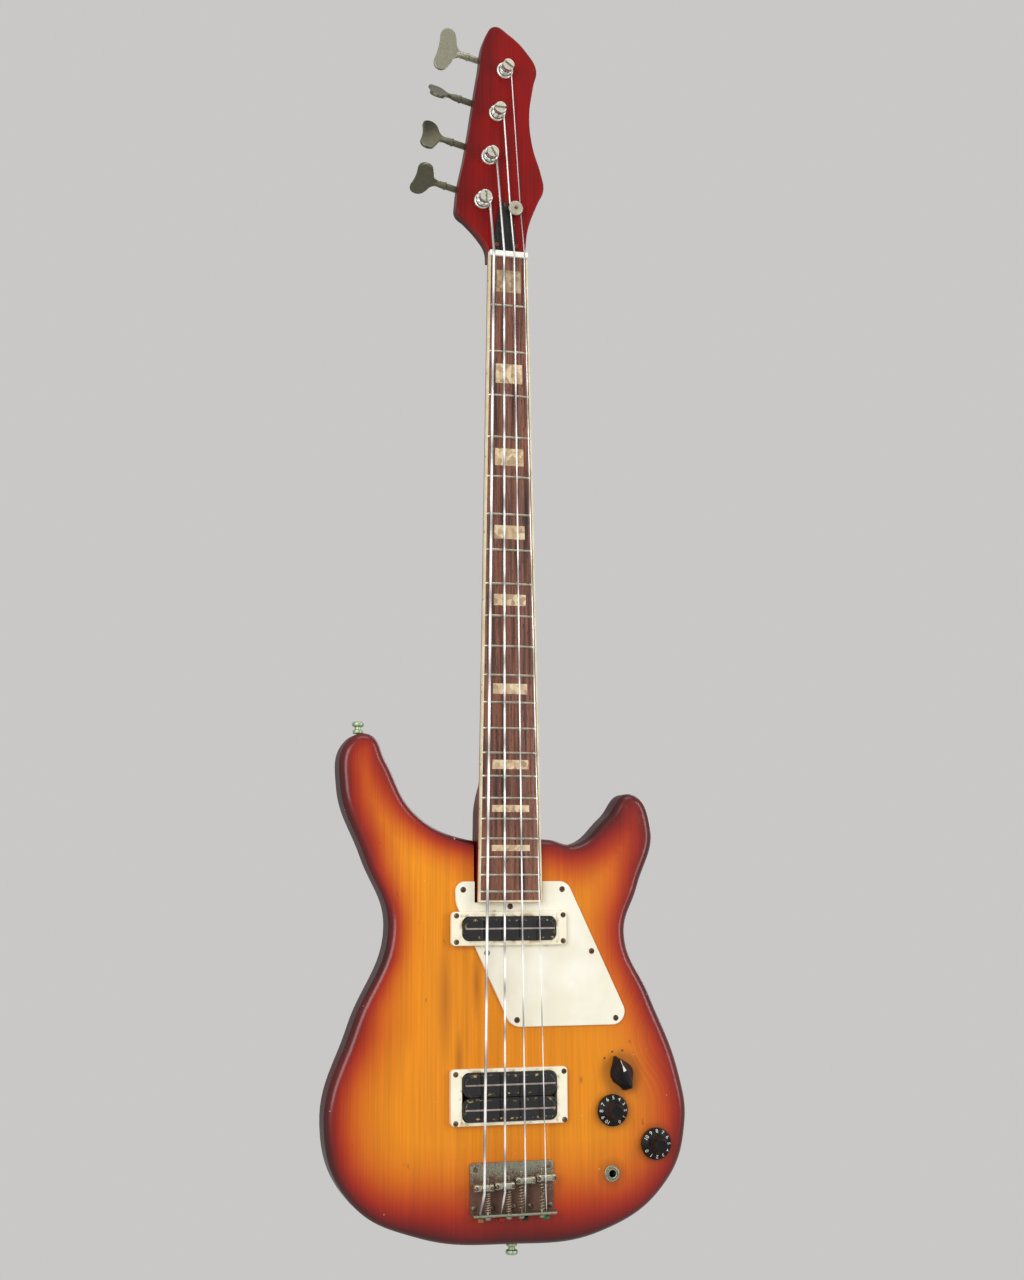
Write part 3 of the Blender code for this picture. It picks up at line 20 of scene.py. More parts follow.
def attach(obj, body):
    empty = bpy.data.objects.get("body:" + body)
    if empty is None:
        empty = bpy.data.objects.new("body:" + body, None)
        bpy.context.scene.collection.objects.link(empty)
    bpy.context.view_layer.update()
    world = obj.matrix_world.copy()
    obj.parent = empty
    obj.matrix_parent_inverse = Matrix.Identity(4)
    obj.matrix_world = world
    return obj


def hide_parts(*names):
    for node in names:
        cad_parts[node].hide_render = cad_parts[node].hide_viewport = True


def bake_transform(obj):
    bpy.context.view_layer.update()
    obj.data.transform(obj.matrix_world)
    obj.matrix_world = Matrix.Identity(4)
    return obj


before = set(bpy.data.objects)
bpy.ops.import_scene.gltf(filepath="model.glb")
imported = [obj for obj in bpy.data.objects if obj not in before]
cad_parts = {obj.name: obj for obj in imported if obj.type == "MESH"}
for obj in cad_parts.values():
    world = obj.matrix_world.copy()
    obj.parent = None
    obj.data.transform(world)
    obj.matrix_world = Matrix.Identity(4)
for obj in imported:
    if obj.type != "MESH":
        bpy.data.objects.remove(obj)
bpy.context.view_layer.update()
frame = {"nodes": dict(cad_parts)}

LOG = logging.getLogger("bass")
Piece = bpy.types.Object
Finish = bpy.types.Material
Socket = bpy.types.NodeSocket
NodeMaker = Callable[..., bpy.types.Node]
Flat = tuple[float, float]
Place = tuple[float, float, float]
Row = tuple[float, ...]

MM = 0.001
SEAT = 0.3              # gap between two pieces that touch
REACH = 5.0             # how far a cutting tool goes past what it cuts
HOLLOW = 7.8            # height of the ceiling inside the knobs
NAMES = ("e", "a", "d", "g")
TOWARDS_PLAYER = (0.0, -1.0, 0.0)
TOWARDS_BACK = (0.0, 1.0, 0.0)


class Cut(Enum):
    """How a tool's shape changes a piece."""

    AWAY = "DIFFERENCE"
    TOGETHER = "UNION"


# Bench: selecting, shaping and finishing

def let_go() -> None:
    """Leave edit mode and select nothing."""
    if bpy.context.object and bpy.context.object.mode != "OBJECT":
        bpy.ops.object.mode_set(mode="OBJECT")
    bpy.ops.object.select_all(action="DESELECT")


def hold(piece: Piece) -> None:
    """Select one piece alone and make it active."""
    let_go()
    piece.select_set(True)
    bpy.context.view_layer.objects.active = piece


@contextmanager
def editing(piece: Piece, kind: str = "FACE", everything: bool = True) -> Iterator[None]:
    """Open a piece in edit mode.

    Args:
        piece: The piece to shape.
        kind: What is selected, VERT, EDGE or FACE.
        everything: Whether all of it starts selected.
    """
    hold(piece)
    bpy.ops.object.mode_set(mode="EDIT")
    bpy.ops.mesh.select_mode(type=kind)
    bpy.ops.mesh.select_all(action="SELECT" if everything else "DESELECT")
    yield
    bpy.ops.object.mode_set(mode="OBJECT")


def pick_edges(piece: Piece, wanted: Callable[[Vector, Vector], bool]) -> None:
    """Select the edges of an open piece by where their two ends are, in millimetres."""
    work = bmesh.from_edit_mesh(piece.data)
    for edge in work.edges:
        ends = [vertex.co / MM for vertex in edge.verts]
        edge.select_set(wanted(*ends))
    bmesh.update_edit_mesh(piece.data)


def pick_faces(piece: Piece, wanted: Callable[[Vector], bool]) -> None:
    """Select the faces of an open piece by their normals."""
    work = bmesh.from_edit_mesh(piece.data)
    for face in work.faces:
        face.select_set(wanted(face.normal))
    bmesh.update_edit_mesh(piece.data)


def outwards() -> None:
    """Turn all faces of the open piece to the outside."""
    bpy.ops.mesh.select_all(action="SELECT")
    bpy.ops.mesh.normals_make_consistent(inside=False)


def settle(piece: Piece) -> Piece:
    """Move a piece's place and turn into its mesh."""
    hold(piece)
    bpy.ops.object.transform_apply(location=True, rotation=True, scale=True)
    return piece


def moved(piece: Piece, matrix: Matrix) -> Piece:
    """Move a piece's mesh by a matrix in millimetres."""
    matrix = matrix.copy()
    matrix.translation = matrix.translation * MM
    piece.data.transform(matrix)
    return piece


def modify(piece: Piece, kind: str, **settings: object) -> None:
    """Put a modifier on a piece and apply it.

    Args:
        piece: The piece to change.
        kind: Blender's name of the modifier.
        settings: The modifier's own settings.
    """
    hold(piece)
    modifier = piece.modifiers.new(kind.title(), kind)
    for key, value in settings.items():
        setattr(modifier, key, value)
    bpy.ops.object.modifier_apply(modifier=modifier.name)


def carve(piece: Piece, *tools: Piece, how: Cut = Cut.AWAY) -> Piece:
    """Cut a piece with tools, or fuse them, and throw the tools away."""
    for tool in tools:
        modify(piece, "BOOLEAN", operation=how.value, solver="EXACT", object=tool)
        bpy.data.objects.remove(tool)
    return piece


def rounded(piece: Piece, width: float, segments: int = 2, angle: float = 40.0) -> Piece:
    """Round the edges of a piece that are sharper than an angle in degrees."""
    modify(
        piece, "BEVEL", width=width * MM, segments=segments, limit_method="ANGLE",
        angle_limit=math.radians(angle), harden_normals=False)
    return piece


def smooth(piece: Piece, angle: float = 35.0) -> Piece:
    """Shade a piece smooth where it is round, with its flat faces kept flat."""
    hold(piece)
    bpy.ops.object.shade_smooth_by_angle(angle=math.radians(angle))
    modify(piece, "WEIGHTED_NORMAL", keep_sharp=True, weight=60)
    return piece


def fused(name: str, pieces: Sequence[Piece]) -> Piece:
    """Make several pieces one object with a name of its own."""
    hold(pieces[0])
    for piece in pieces:
        piece.select_set(True)
    bpy.ops.object.join()
    pieces[0].name = pieces[0].data.name = name
    return pieces[0]


def copied(piece: Piece, matrix: Matrix) -> Piece:
    """Copy a piece with its own mesh and move the copy."""
    hold(piece)
    bpy.ops.object.duplicate(linked=False)
    return moved(bpy.context.object, matrix)


def put_on(piece: Piece, body: str, finish: Finish, slot: str, *nodes: str) -> Piece:
    """Give a piece its finish and its place in the frame.

    Args:
        piece: The finished shape.
        body: The body that it moves with.
        finish: Its material.
        slot: The record's material slot; not used.
        nodes: The CAD nodes that it stands for.

    Returns:
        The piece.
    """
    piece.data.materials.clear()
    piece.data.materials.append(finish)
    settle(piece)
    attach(piece, body)
    if nodes:
        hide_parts(*nodes)
    LOG.info("%s: %d faces on %s", piece.name, len(piece.data.polygons), body)
    return piece


def coat_hidden(node: str, finish: Finish) -> None:
    """Give a CAD node that stays as it is, out of sight, its metal."""
    materials = frame["nodes"][node].data.materials
    materials.clear()
    materials.append(finish)


# Outlines in the XZ plane

def traced(knots: Sequence[Flat], resolution: int, closed: bool = True) -> list[Flat]:
    """Draw a smooth curve through a few knots.

    Args:
        knots: The points that it passes.
        resolution: Steps from knot to knot.
        closed: Whether it ends where it starts.

    Returns:
        The curve's points.
    """
    let_go()
    bpy.ops.curve.primitive_bezier_curve_add(location=(0, 0, 0))
    guide = bpy.context.object
    guide.data.splines.clear()
    spline = guide.data.splines.new("BEZIER")
    spline.bezier_points.add(len(knots) - 1)
    spline.use_cyclic_u = closed
    spline.resolution_u = resolution
    for point, knot in zip(spline.bezier_points, knots):
        point.co = (knot[0], knot[1], 0.0)
        point.handle_left_type = point.handle_right_type = "AUTO"
    bpy.ops.object.convert(target="MESH")
    points = [(vertex.co.x, vertex.co.y) for vertex in guide.data.vertices]
    bpy.ops.object.delete()
    return points


def anticlockwise(outline: list[Flat]) -> list[Flat]:
    """Give an outline the direction that grown needs."""
    area = sum(outline[i - 1][0] * z - x * outline[i - 1][1] for i, (x, z) in enumerate(outline))
    return outline if area > 0 else outline[::-1]


def grown(outline: Sequence[Flat], distance: float) -> list[Flat]:
    """Move an anticlockwise outline outwards, or inwards by a negative distance."""
    points = []
    for index, (x, z) in enumerate(outline):
        along = Vector(outline[(index + 1) % len(outline)]) - Vector(outline[index - 1])
        along.normalize()
        points.append((x + along.y * distance, z - along.x * distance))
    return points


def arc(centre: Flat, radius: float, first: float, last: float, steps: int) -> list[Flat]:
    """Points along an arc, with angles in degrees from +X towards +Z."""
    turns = [math.radians(first + (last - first) * step / steps) for step in range(steps + 1)]
    return [(centre[0] + radius * math.cos(a), centre[1] + radius * math.sin(a)) for a in turns]


def rounded_rectangle(
        centre: Flat, width: float, height: float, radius: float, steps: int = 8) -> list[Flat]:
    """Outline of a rectangle with round corners."""
    points = []
    for quarter, (side, rise) in enumerate(((1, 1), (-1, 1), (-1, -1), (1, -1))):
        corner = (centre[0] + side * (width / 2 - radius), centre[1] + rise * (height / 2 - radius))
        points += arc(corner, radius, 90 * quarter, 90 * quarter + 90, steps)
    return points


def filleted(corners: Sequence[Row], steps: int = 10) -> list[Flat]:
    """Outline of an anticlockwise polygon whose (x, z, radius) corners are rounded."""
    points = []
    for index, (x, z, radius) in enumerate(corners):
        corner = Vector((x, z))
        before = (Vector(corners[index - 1][:2]) - corner).normalized()
        after = (Vector(corners[(index + 1) % len(corners)][:2]) - corner).normalized()
        half = before.angle(after) / 2
        centre = corner + (before + after).normalized() * radius / math.sin(half)
        first = corner + before * radius / math.tan(half) - centre
        for step in range(steps + 1):
            turn = Matrix.Rotation((math.pi - 2 * half) * step / steps, 2)
            points.append(tuple(centre + turn @ first))
    return points


# Shapes, each grown from a primitive

def blank(name: str, points: Sequence[Place], fill: str = "NGON") -> Piece:
    """Add a ring of points at their places, filled or open."""
    let_go()
    bpy.ops.mesh.primitive_circle_add(vertices=len(points), radius=MM, fill_type=fill, location=(0, 0, 0))
    piece = bpy.context.object
    piece.name = piece.data.name = name
    for vertex, point in zip(piece.data.vertices, points):
        vertex.co = Vector(point) * MM
    return piece


def plate(name: str, outline: Sequence[Flat], front: float, back: float) -> Piece:
    """Extrude a flat outline along Y from its front depth to its back depth."""
    piece = blank(name, [(x, front, z) for x, z in outline])
    with editing(piece):
        bpy.ops.mesh.extrude_region_move(TRANSFORM_OT_translate={"value": (0, (back - front) * MM, 0)})
        outwards()
    return piece


def round_rim(piece: Piece, depth: float, width: float, segments: int = 3) -> Piece:
    """Bevel the edges of a plate that lie at one depth."""
    with editing(piece, "EDGE", everything=False):
        pick_edges(piece, lambda a, b: abs(a.y - depth) < 0.01 and abs(b.y - depth) < 0.01)
        bpy.ops.mesh.bevel(
            offset=width * MM, offset_type="OFFSET", segments=segments, profile=0.5,
            clamp_overlap=False)
    return piece


def loft(name: str, sections: Sequence[Sequence[Place]]) -> Piece:
    """Extrude a filled section again and again, each time onto the next section."""
    piece = blank(name, sections[0])
    with editing(piece):
        for before, after in zip(sections, sections[1:]):
            bpy.ops.mesh.extrude_region_move(TRANSFORM_OT_translate={"value": (0, 0, 0)})
            work = bmesh.from_edit_mesh(piece.data)
            cap = next(face for face in work.faces if face.select)
            places = {tuple(Vector(old) * MM): Vector(new) * MM for old, new in zip(before, after)}
            for vertex in cap.verts:
                vertex.co = places[tuple(vertex.co)]
            bmesh.update_edit_mesh(piece.data)
        outwards()
    return piece


def turned(
        name: str, profile: Sequence[Flat], foot: Place, axis: Place = TOWARDS_PLAYER,
        steps: int = 48, closed: bool = False) -> Piece:
    """Spin a profile of (radius, height) points about an axis.

    Args:
        name: The piece's name.
        profile: Points from the axis out and back, or all round a section.
        foot: Where height 0 lies on the axis.
        axis: The direction that heights count in.
        steps: Faces round the axis.
        closed: Whether the profile is a closed section off the axis.

    Returns:
        The turned piece.
    """
    direction = Vector(axis).normalized()
    side = direction.orthogonal().normalized()
    centre = Vector(foot)
    points = [tuple(centre + side * radius + direction * height) for radius, height in profile]
    piece = blank(name, points, fill="NOTHING")
    last = len(profile) - 1
    with editing(piece, "EDGE", everything=False):
        if not closed:
            work = bmesh.from_edit_mesh(piece.data)
            for edge in work.edges:
                edge.select_set({vertex.index for vertex in edge.verts} == {0, last})
            bpy.ops.mesh.delete(type="EDGE")
        bpy.ops.mesh.select_all(action="SELECT")
        bpy.ops.mesh.spin(steps=steps, angle=2 * math.pi, center=centre * MM, axis=direction)
        bpy.ops.mesh.select_all(action="SELECT")
        bpy.ops.mesh.remove_doubles(threshold=0.000004)
        outwards()
    return piece


def box(name: str, low: Place, high: Place) -> Piece:
    """Add a block between two corners."""
    let_go()
    size = (Vector(high) - Vector(low)) * MM
    middle = (Vector(high) + Vector(low)) / 2 * MM
    bpy.ops.mesh.primitive_cube_add(size=1.0, location=middle, scale=size)
    piece = bpy.context.object
    piece.name = piece.data.name = name
    return settle(piece)


def rod(name: str, start: Place, end: Place, radius: float, sides: int = 32) -> Piece:
    """Add a round rod between two points."""
    let_go()
    along = Vector(end) - Vector(start)
    bpy.ops.mesh.primitive_cylinder_add(
        vertices=sides, radius=radius * MM, depth=along.length * MM,
        location=(Vector(start) + Vector(end)) / 2 * MM,
        rotation=along.to_track_quat("Z", "Y").to_euler())
    piece = bpy.context.object
    piece.name = piece.data.name = name
    return settle(piece)


def wire(name: str, points: Sequence[Place], radius: float, resolution: int = 4) -> Piece:
    """Draw a round wire along points, with the distance along it kept as an attribute."""
    let_go()
    bpy.ops.curve.primitive_bezier_curve_add(location=(0, 0, 0))
    piece = bpy.context.object
    curve = piece.data
    curve.dimensions = "3D"
    curve.bevel_depth = radius * MM
    curve.bevel_resolution = resolution
    curve.use_fill_caps = True
    curve.splines.clear()
    spline = curve.splines.new("POLY")
    spline.points.add(len(points) - 1)
    for point, place in zip(spline.points, points):
        point.co = (*(Vector(place) * MM), 1.0)
    bpy.ops.object.convert(target="MESH")
    piece.name = piece.data.name = name
    ring = len(piece.data.vertices) // len(points)
    along = [0.0]
    for before, after in zip(points, points[1:]):
        along.append(along[-1] + (Vector(after) - Vector(before)).length)
    mark = piece.data.attributes.new("along", "FLOAT", "POINT")
    mark.data.foreach_set("value", [along[min(i // ring, len(along) - 1)] for i in range(len(mark.data))])
    bpy.ops.object.shade_smooth()
    return piece


# Finishes: every colour is an sRGB hex value, every pattern size is in millimetres

def linear(code: str) -> Row:
    """Turn an sRGB hex colour into the linear values that a shader reads."""
    parts = [int(code[i:i + 2], 16) / 255 for i in (1, 3, 5)]
    red, green, blue = (
        part / 12.92 if part <= 0.04045 else ((part + 0.055) / 1.055) ** 2.4 for part in parts)
    return (red, green, blue, 1.0)


def per(size: float) -> float:
    """Texture scale, in repeats per metre, of a feature of a size in millimetres."""
    return 1000.0 / size


def feed(node: bpy.types.Node, feeds: dict) -> None:
    """Set or link a node's inputs.

    Args:
        node: The node to feed.
        feeds: For each input, a colour code, a value, an output, or a node for its first live output.
    """
    for key, value in feeds.items():
        if isinstance(value, bpy.types.Node):
            value = next(socket for socket in value.outputs if socket.enabled)
        if isinstance(value, bpy.types.NodeSocket):
            node.id_data.links.new(value, node.inputs[key])
        else:
            node.inputs[key].default_value = linear(value) if isinstance(value, str) else value


def add(
        tree: bpy.types.NodeTree, kind: str, feeds: dict | None = None,
        stops: Sequence[tuple[float, str]] = (), **settings: object) -> bpy.types.Node:
    """Add a shader node with its settings and links.

    Args:
        tree: The material's or world's node tree.
        kind: The node's type after ShaderNode, then its operation if it has one. A Mix mixes colours.
        feeds: What each input gets, as feed takes it.
        stops: Places and colours of a colour ramp.
        settings: The node's own settings.

    Returns:
        The node.
    """
    kind, _, operation = kind.partition(" ")
    made = tree.nodes.new("ShaderNode" + kind)
    if operation:
        made.operation = operation
    if kind == "Mix":
        made.data_type = "RGBA"
    for key, value in settings.items():
        setattr(made, key, value)
    for index, (where, colour) in enumerate(stops):
        elements = made.color_ramp.elements
        element = elements[index] if index < 2 else elements.new(where)
        element.position, element.color = where, linear(colour)
    feed(made, feeds or {})
    return made


def streaks(node: NodeMaker, place: Socket, width: float, length: float, detail: float) -> bpy.types.Node:
    """Noise drawn out along Z, its features as wide and as long as given in millimetres."""
    drawn = node("Mapping", {"Vector": place, "Scale": (per(width), per(width), per(length))})
    return node("TexNoise", {"Vector": drawn, "Scale": 1.0, "Detail": detail})


@dataclass(frozen=True)
class Surface:
    """What every finish has: its name, its constants and, in most, a tone and the tone of its stains."""

    name: str
    roughness: float = 0.4
    tone: str = "#808080"
    stain: str = "#707070"
    metallic: float = 0.0
    ior: float = 1.5
    coat: float = 0.0
    coat_roughness: float = 0.17

    def made(self) -> Finish:
        """Make the material from its constants and the looks of its own kind."""
        material = bpy.data.materials.new(self.name)
        material.use_nodes = True
        shader = material.node_tree.nodes["Principled BSDF"]
        feed(shader, {
            "Roughness": self.roughness, "Metallic": self.metallic, "Coat Weight": self.coat,
            "Coat Roughness": self.coat_roughness})
        if self.metallic < 0.5:
            feed(shader, {"IOR": self.ior})
        node = partial(add, material.node_tree)
        feed(shader, self.looks(node, node("TexCoord").outputs["Object"]))
        return material

    def looks(self, node: NodeMaker, place: Socket) -> dict:
        """What the shader's inputs get, from nodes that read object coordinates."""
        raise NotImplementedError


@dataclass(frozen=True)
class Mottled(Surface):
    """A plain moulded or plated stuff whose tone and gloss drift a little over its face."""

    patch: float = 6.0          # size of a stain
    grit: float = 0.5           # size of the fine unevenness of the surface
    relief: float = 0.03

    def looks(self, node: NodeMaker, place: Socket) -> dict:
        """Build its colour, gloss and relief."""
        cloud = node("TexNoise", {"Vector": place, "Scale": per(self.patch), "Detail": 5.0})
        blend = node("MapRange", {0: cloud, 1: 0.38, 2: 0.66})
        colour = node("Mix", {0: blend, 6: self.tone, 7: self.stain})
        gloss = node("MapRange", {
            0: cloud, 1: 0.3, 2: 0.7, 3: self.roughness * 0.85,
            4: min(self.roughness * 1.25, 1.0)})
        grain = node("TexNoise", {"Vector": place, "Scale": per(self.grit), "Detail": 3.0})
        bump = node("Bump", {"Height": grain, "Strength": self.relief, "Distance": 0.4 * MM})
        return {"Base Color": colour, "Roughness": gloss, "Normal": bump}


@dataclass(frozen=True)
class SunburstLacquer(Surface):
    """Translucent lacquer over straight-grained wood, sprayed from amber to near black at the rim.

    The grain shows through as fine upright lines, the gloss has worn to a satin, the rim is
    chipped down to the wood, and grime with painted shadow darkens the lacquer round the controls.
    """

    bands: tuple[tuple[float, str], ...] = (
        (0, "#330508"), (3, "#560706"), (7, "#7E1005"), (11, "#982103"), (16, "#AB3602"),
        (22, "#BC4E02"), (30, "#CB6502"), (41, "#D67803"), (58, "#DF8604"), (120, "#DD8506"))
    passes: tuple[Row, ...] = ()      # x, z, reach, factor on depths
    stains: tuple[Row, ...] = ()      # x, z, half width, half height
    grimy: tuple[Row, ...] = ()
    knot: Flat = (128.0, -742.0)
    face: float = 11.0          # depth of the face that the marks lie on
    dirt: str = "#4A2208"
    bare: str = "#D2A066"

    def looks(self, node: NodeMaker, place: Socket) -> dict:
        """Build its colour, gloss and relief."""
        last = self.bands[-1][0]
        cloud = node("TexNoise", {"Vector": place, "Scale": per(85), "Detail": 2.0})
        edge = node("Attribute", attribute_name="edge").outputs["Fac"]
        depth = node("Math MULTIPLY_ADD", {0: cloud, 1: 9.0, 2: -4.5})
        depth = node("Math ADD", {0: edge, 1: depth})
        # The spray was laid on thicker in some places and thinner in others.
        for x, z, reach, factor in self.passes:
            centre = node("VectorMath DISTANCE", {0: place, 1: (x * MM, self.face * MM, z * MM)})
            more = node("MapRange", {
                0: centre, 1: reach * MM, 2: 0.25 * reach * MM, 3: 1.0, 4: factor},
                interpolation_type="SMOOTHSTEP")
            depth = node("Math MULTIPLY", {0: depth, 1: more})
        share = node("MapRange", {0: depth, 1: 0.0, 2: float(last)})
        spray = node("ValToRGB", {"Fac": share},
            stops=[(distance / last, code) for distance, code in self.bands])
        # Annual rings are 1 to 2 mm apart and run the length of the body, with wider bands of colour.
        swirl = node("VectorMath DISTANCE", {
            0: place, 1: (self.knot[0] * MM, self.face * MM, self.knot[1] * MM)})
        bend = node("MapRange", {
            0: swirl, 1: 62 * MM, 2: 0.0, 3: 0.0, 4: 26 * MM},
            interpolation_type="SMOOTHSTEP")
        aside = node("CombineXYZ", {"X": bend})
        bent = node("VectorMath ADD", {0: place, 1: aside})
        rings = streaks(node, bent, 1.5, 90, 3.0)
        bands = streaks(node, place, 16, 300, 2.0)
        fine = node("MapRange", {0: rings, 1: 0.3, 2: 0.7, 3: 0.85, 4: 1.05})
        broad = node("MapRange", {0: bands, 1: 0.3, 2: 0.7, 3: 0.94, 4: 1.04})
        both = node("Math MULTIPLY", {0: fine, 1: broad})
        wood = node("Mix", {0: 1.0, 6: spray, 7: both}, blend_type="MULTIPLY")
        colour = wood
        # Bruises in the lacquer are short and dark, 5 to 15 mm long.
        spots = streaks(node, place, 9, 20, 2.0)
        bruise = node("MapRange", {0: spots, 1: 0.73, 2: 0.78, 3: 0.0, 4: 0.6})
        colour = node("Mix", {0: bruise, 6: colour, 7: "#6A3208"})
        for x, z, half_x, half_z in self.stains:
            near = node("VectorMath SUBTRACT", {0: place, 1: (x * MM, self.face * MM, z * MM)})
            oval = node("VectorMath MULTIPLY", {0: near, 1: (per(half_x), 0, per(half_z))})
            size = node("VectorMath LENGTH", {0: oval})
            fade = node("MapRange", {0: size, 1: 1.0, 2: 0.1, 3: 0.0, 4: 1.1})
            patchy = node("Math MULTIPLY", {0: fade, 1: rings})
            colour = node("Mix", {0: patchy, 6: colour, 7: "#8A4A0C"})
        # Rings round the controls: grime, with painted shadow of the knobs.
        for x, z, radius in self.grimy:
            centre = node("VectorMath DISTANCE", {0: place, 1: (x * MM, self.face * MM, z * MM)})
            ring = node("MapRange", {0: centre, 1: (radius + 7) * MM, 2: (radius - 1) * MM, 3: 0.0, 4: 0.7})
            uneven = node("Math MULTIPLY", {0: ring, 1: cloud})
            colour = node("Mix", {0: uneven, 6: colour, 7: self.dirt})
        # Chips of 1 to 3 mm stay within a finger's width of the rim.
        flakes = node("TexNoise", {"Vector": place, "Scale": per(6), "Detail": 3.0})
        near = node("MapRange", {0: edge, 1: 4.0, 2: 18.0, 3: 1.0, 4: 0.965})
        cut = node("Math MULTIPLY", {0: flakes, 1: near})
        chip = node("MapRange", {0: cut, 1: 0.735, 2: 0.75})
        colour = node("Mix", {0: chip, 6: colour, 7: self.bare})
        gloss = node("MapRange", {
            0: cloud, 1: 0.3, 2: 0.7, 3: self.roughness - 0.05, 4: self.roughness + 0.1})
        # The side wall was never polished as the face and its rim were.
        shine = node("MapRange", {0: edge, 1: 0.2, 2: 1.5, 3: 0.12, 4: 0.5})
        coat = node("Math MULTIPLY", {0: shine, 1: 2.0 * self.coat})
        bump = node("Bump", {"Height": chip, "Strength": 0.2, "Distance": 0.3 * MM}, invert=True)
        return {
            "Base Color": colour, "Roughness": gloss, "Specular IOR Level": shine, "Coat Weight": coat,
            "Normal": bump}


@dataclass(frozen=True)
class CherryLacquer(Surface):
    """Translucent cherry-red lacquer over upright grain, with painted shade towards the back and the rims."""

    tone: str = "#84100D"
    deep: str = "#660A0A"
    shadow: str = "#330709"
    bare: str = "#C08A5A"
    front_y: float = 6.3

    def looks(self, node: NodeMaker, place: Socket) -> dict:
        """Build its colour, gloss and relief."""
        rings = streaks(node, place, 2.2, 120, 3.0)
        cloud = node("TexNoise", {"Vector": place, "Scale": per(34), "Detail": 3.0})
        mixed = node("Math MULTIPLY", {0: rings, 1: cloud})
        share = node("MapRange", {0: mixed, 1: 0.1, 2: 0.42})
        red = node("Mix", {0: share, 6: self.tone, 7: self.deep})
        # Painted shade: the sides darken towards the shadow colour, the more the further back they lie.
        side = node("SeparateXYZ", {0: place})
        fall = node("MapRange", {
            0: side.outputs["Y"], 1: (self.front_y + 1.0) * MM, 2: (self.front_y + 9.0) * MM, 4: 0.8})
        dark = node("Mix", {0: fall, 6: red, 7: self.shadow})
        # Painted shade: a darker band, some 14 mm wide, follows the slanting edge under the keys.
        across = node("VectorMath DOT_PRODUCT", {0: place, 1: (0.986, 0.0, -0.169)})
        shade = node("MapRange", {0: across, 1: -56 * MM, 2: -41 * MM, 3: 0.45, 4: 0.0})
        dark = node("Mix", {0: shade, 6: dark, 7: self.shadow})
        # Knocks of 1 to 2 mm show the bare wood.
        flakes = node("TexNoise", {"Vector": place, "Scale": per(5), "Detail": 2.0})
        chip = node("MapRange", {0: flakes, 1: 0.775, 2: 0.79})
        worn = node("Mix", {0: chip, 6: dark, 7: self.bare})
        gloss = node("MapRange", {
            0: cloud, 1: 0.3, 2: 0.7, 3: self.roughness - 0.06, 4: self.roughness + 0.1})
        # The sides keep less of the polish than the front.
        shine = node("MapRange", {
            0: side.outputs["Y"], 1: (self.front_y + 0.5) * MM, 2: (self.front_y + 3.0) * MM,
            3: 0.36, 4: 0.15})
        bump = node("Bump", {"Height": chip, "Strength": 0.2, "Distance": 0.3 * MM}, invert=True)
        return {"Base Color": worn, "Roughness": gloss, "Specular IOR Level": shine, "Normal": bump}


@dataclass(frozen=True)
class Rosewood(Surface):
    """Oiled rosewood: brown streaks along the neck with short open pores that catch the light."""

    pale: str = "#85533E"
    brown: str = "#5C3425"
    dark: str = "#28140E"

    def looks(self, node: NodeMaker, place: Socket) -> dict:
        """Build its colour, gloss and relief."""
        # Streaks are 2 to 5 mm wide; pores are drawn 0.6 mm wide, twice their size, to show.
        streak = streaks(node, place, 3.2, 110, 4.0)
        colour = node("ValToRGB", {"Fac": streak}, stops=[
            (0.32, self.dark), (0.44, self.brown), (0.56, self.pale), (0.68, self.brown)])
        pore = streaks(node, place, 0.6, 8, 1.0)
        hole = node("MapRange", {0: pore, 1: 0.60, 2: 0.68})
        wood = node("Mix", {0: hole, 6: colour, 7: self.dark})
        bump = node("Bump", {"Height": hole, "Strength": 0.25, "Distance": 0.15 * MM}, invert=True)
        return {"Base Color": wood, "Normal": bump}


@dataclass(frozen=True)
class Pearloid(Surface):
    """Pearly celluloid: curled flakes of cream and brown that change tone from flake to flake."""

    light: str = "#D9C6A2"
    mid: str = "#C4A984"
    dark: str = "#A68A6B"
    browned: str = "#6E5238"

    def looks(self, node: NodeMaker, place: Socket) -> dict:
        """Build its colour, gloss and relief."""
        # Flakes are 3 to 6 mm across, pulled out of shape by a slower swirl.
        swirl = node("TexNoise", {"Vector": place, "Scale": per(9), "Detail": 2.0})
        bent = node("VectorMath MULTIPLY_ADD", {
            0: swirl.outputs["Color"], 1: (0.004, 0.004, 0.004), 2: place})
        flakes = node("TexVoronoi", {"Vector": bent, "Scale": per(4.5)})
        tone = node("SeparateColor", {0: flakes.outputs["Color"]})
        colour = node("ValToRGB", {"Fac": tone}, stops=[
            (0.1, self.dark), (0.45, self.mid), (0.9, self.light)])
        # Painted shade: the inlays nearest the nut darken to brown, as less light reaches the headstock end.
        height = node("SeparateXYZ", {0: place})
        worn = node("MapRange", {0: height.outputs["Z"], 1: -90 * MM, 2: -50 * MM, 3: 0.0, 4: 0.5})
        aged = node("Mix", {0: worn, 6: colour, 7: self.browned})
        sheen = node("MapRange", {0: tone.outputs[1], 3: 0.2, 4: 0.42})
        return {"Base Color": aged, "Roughness": sheen}


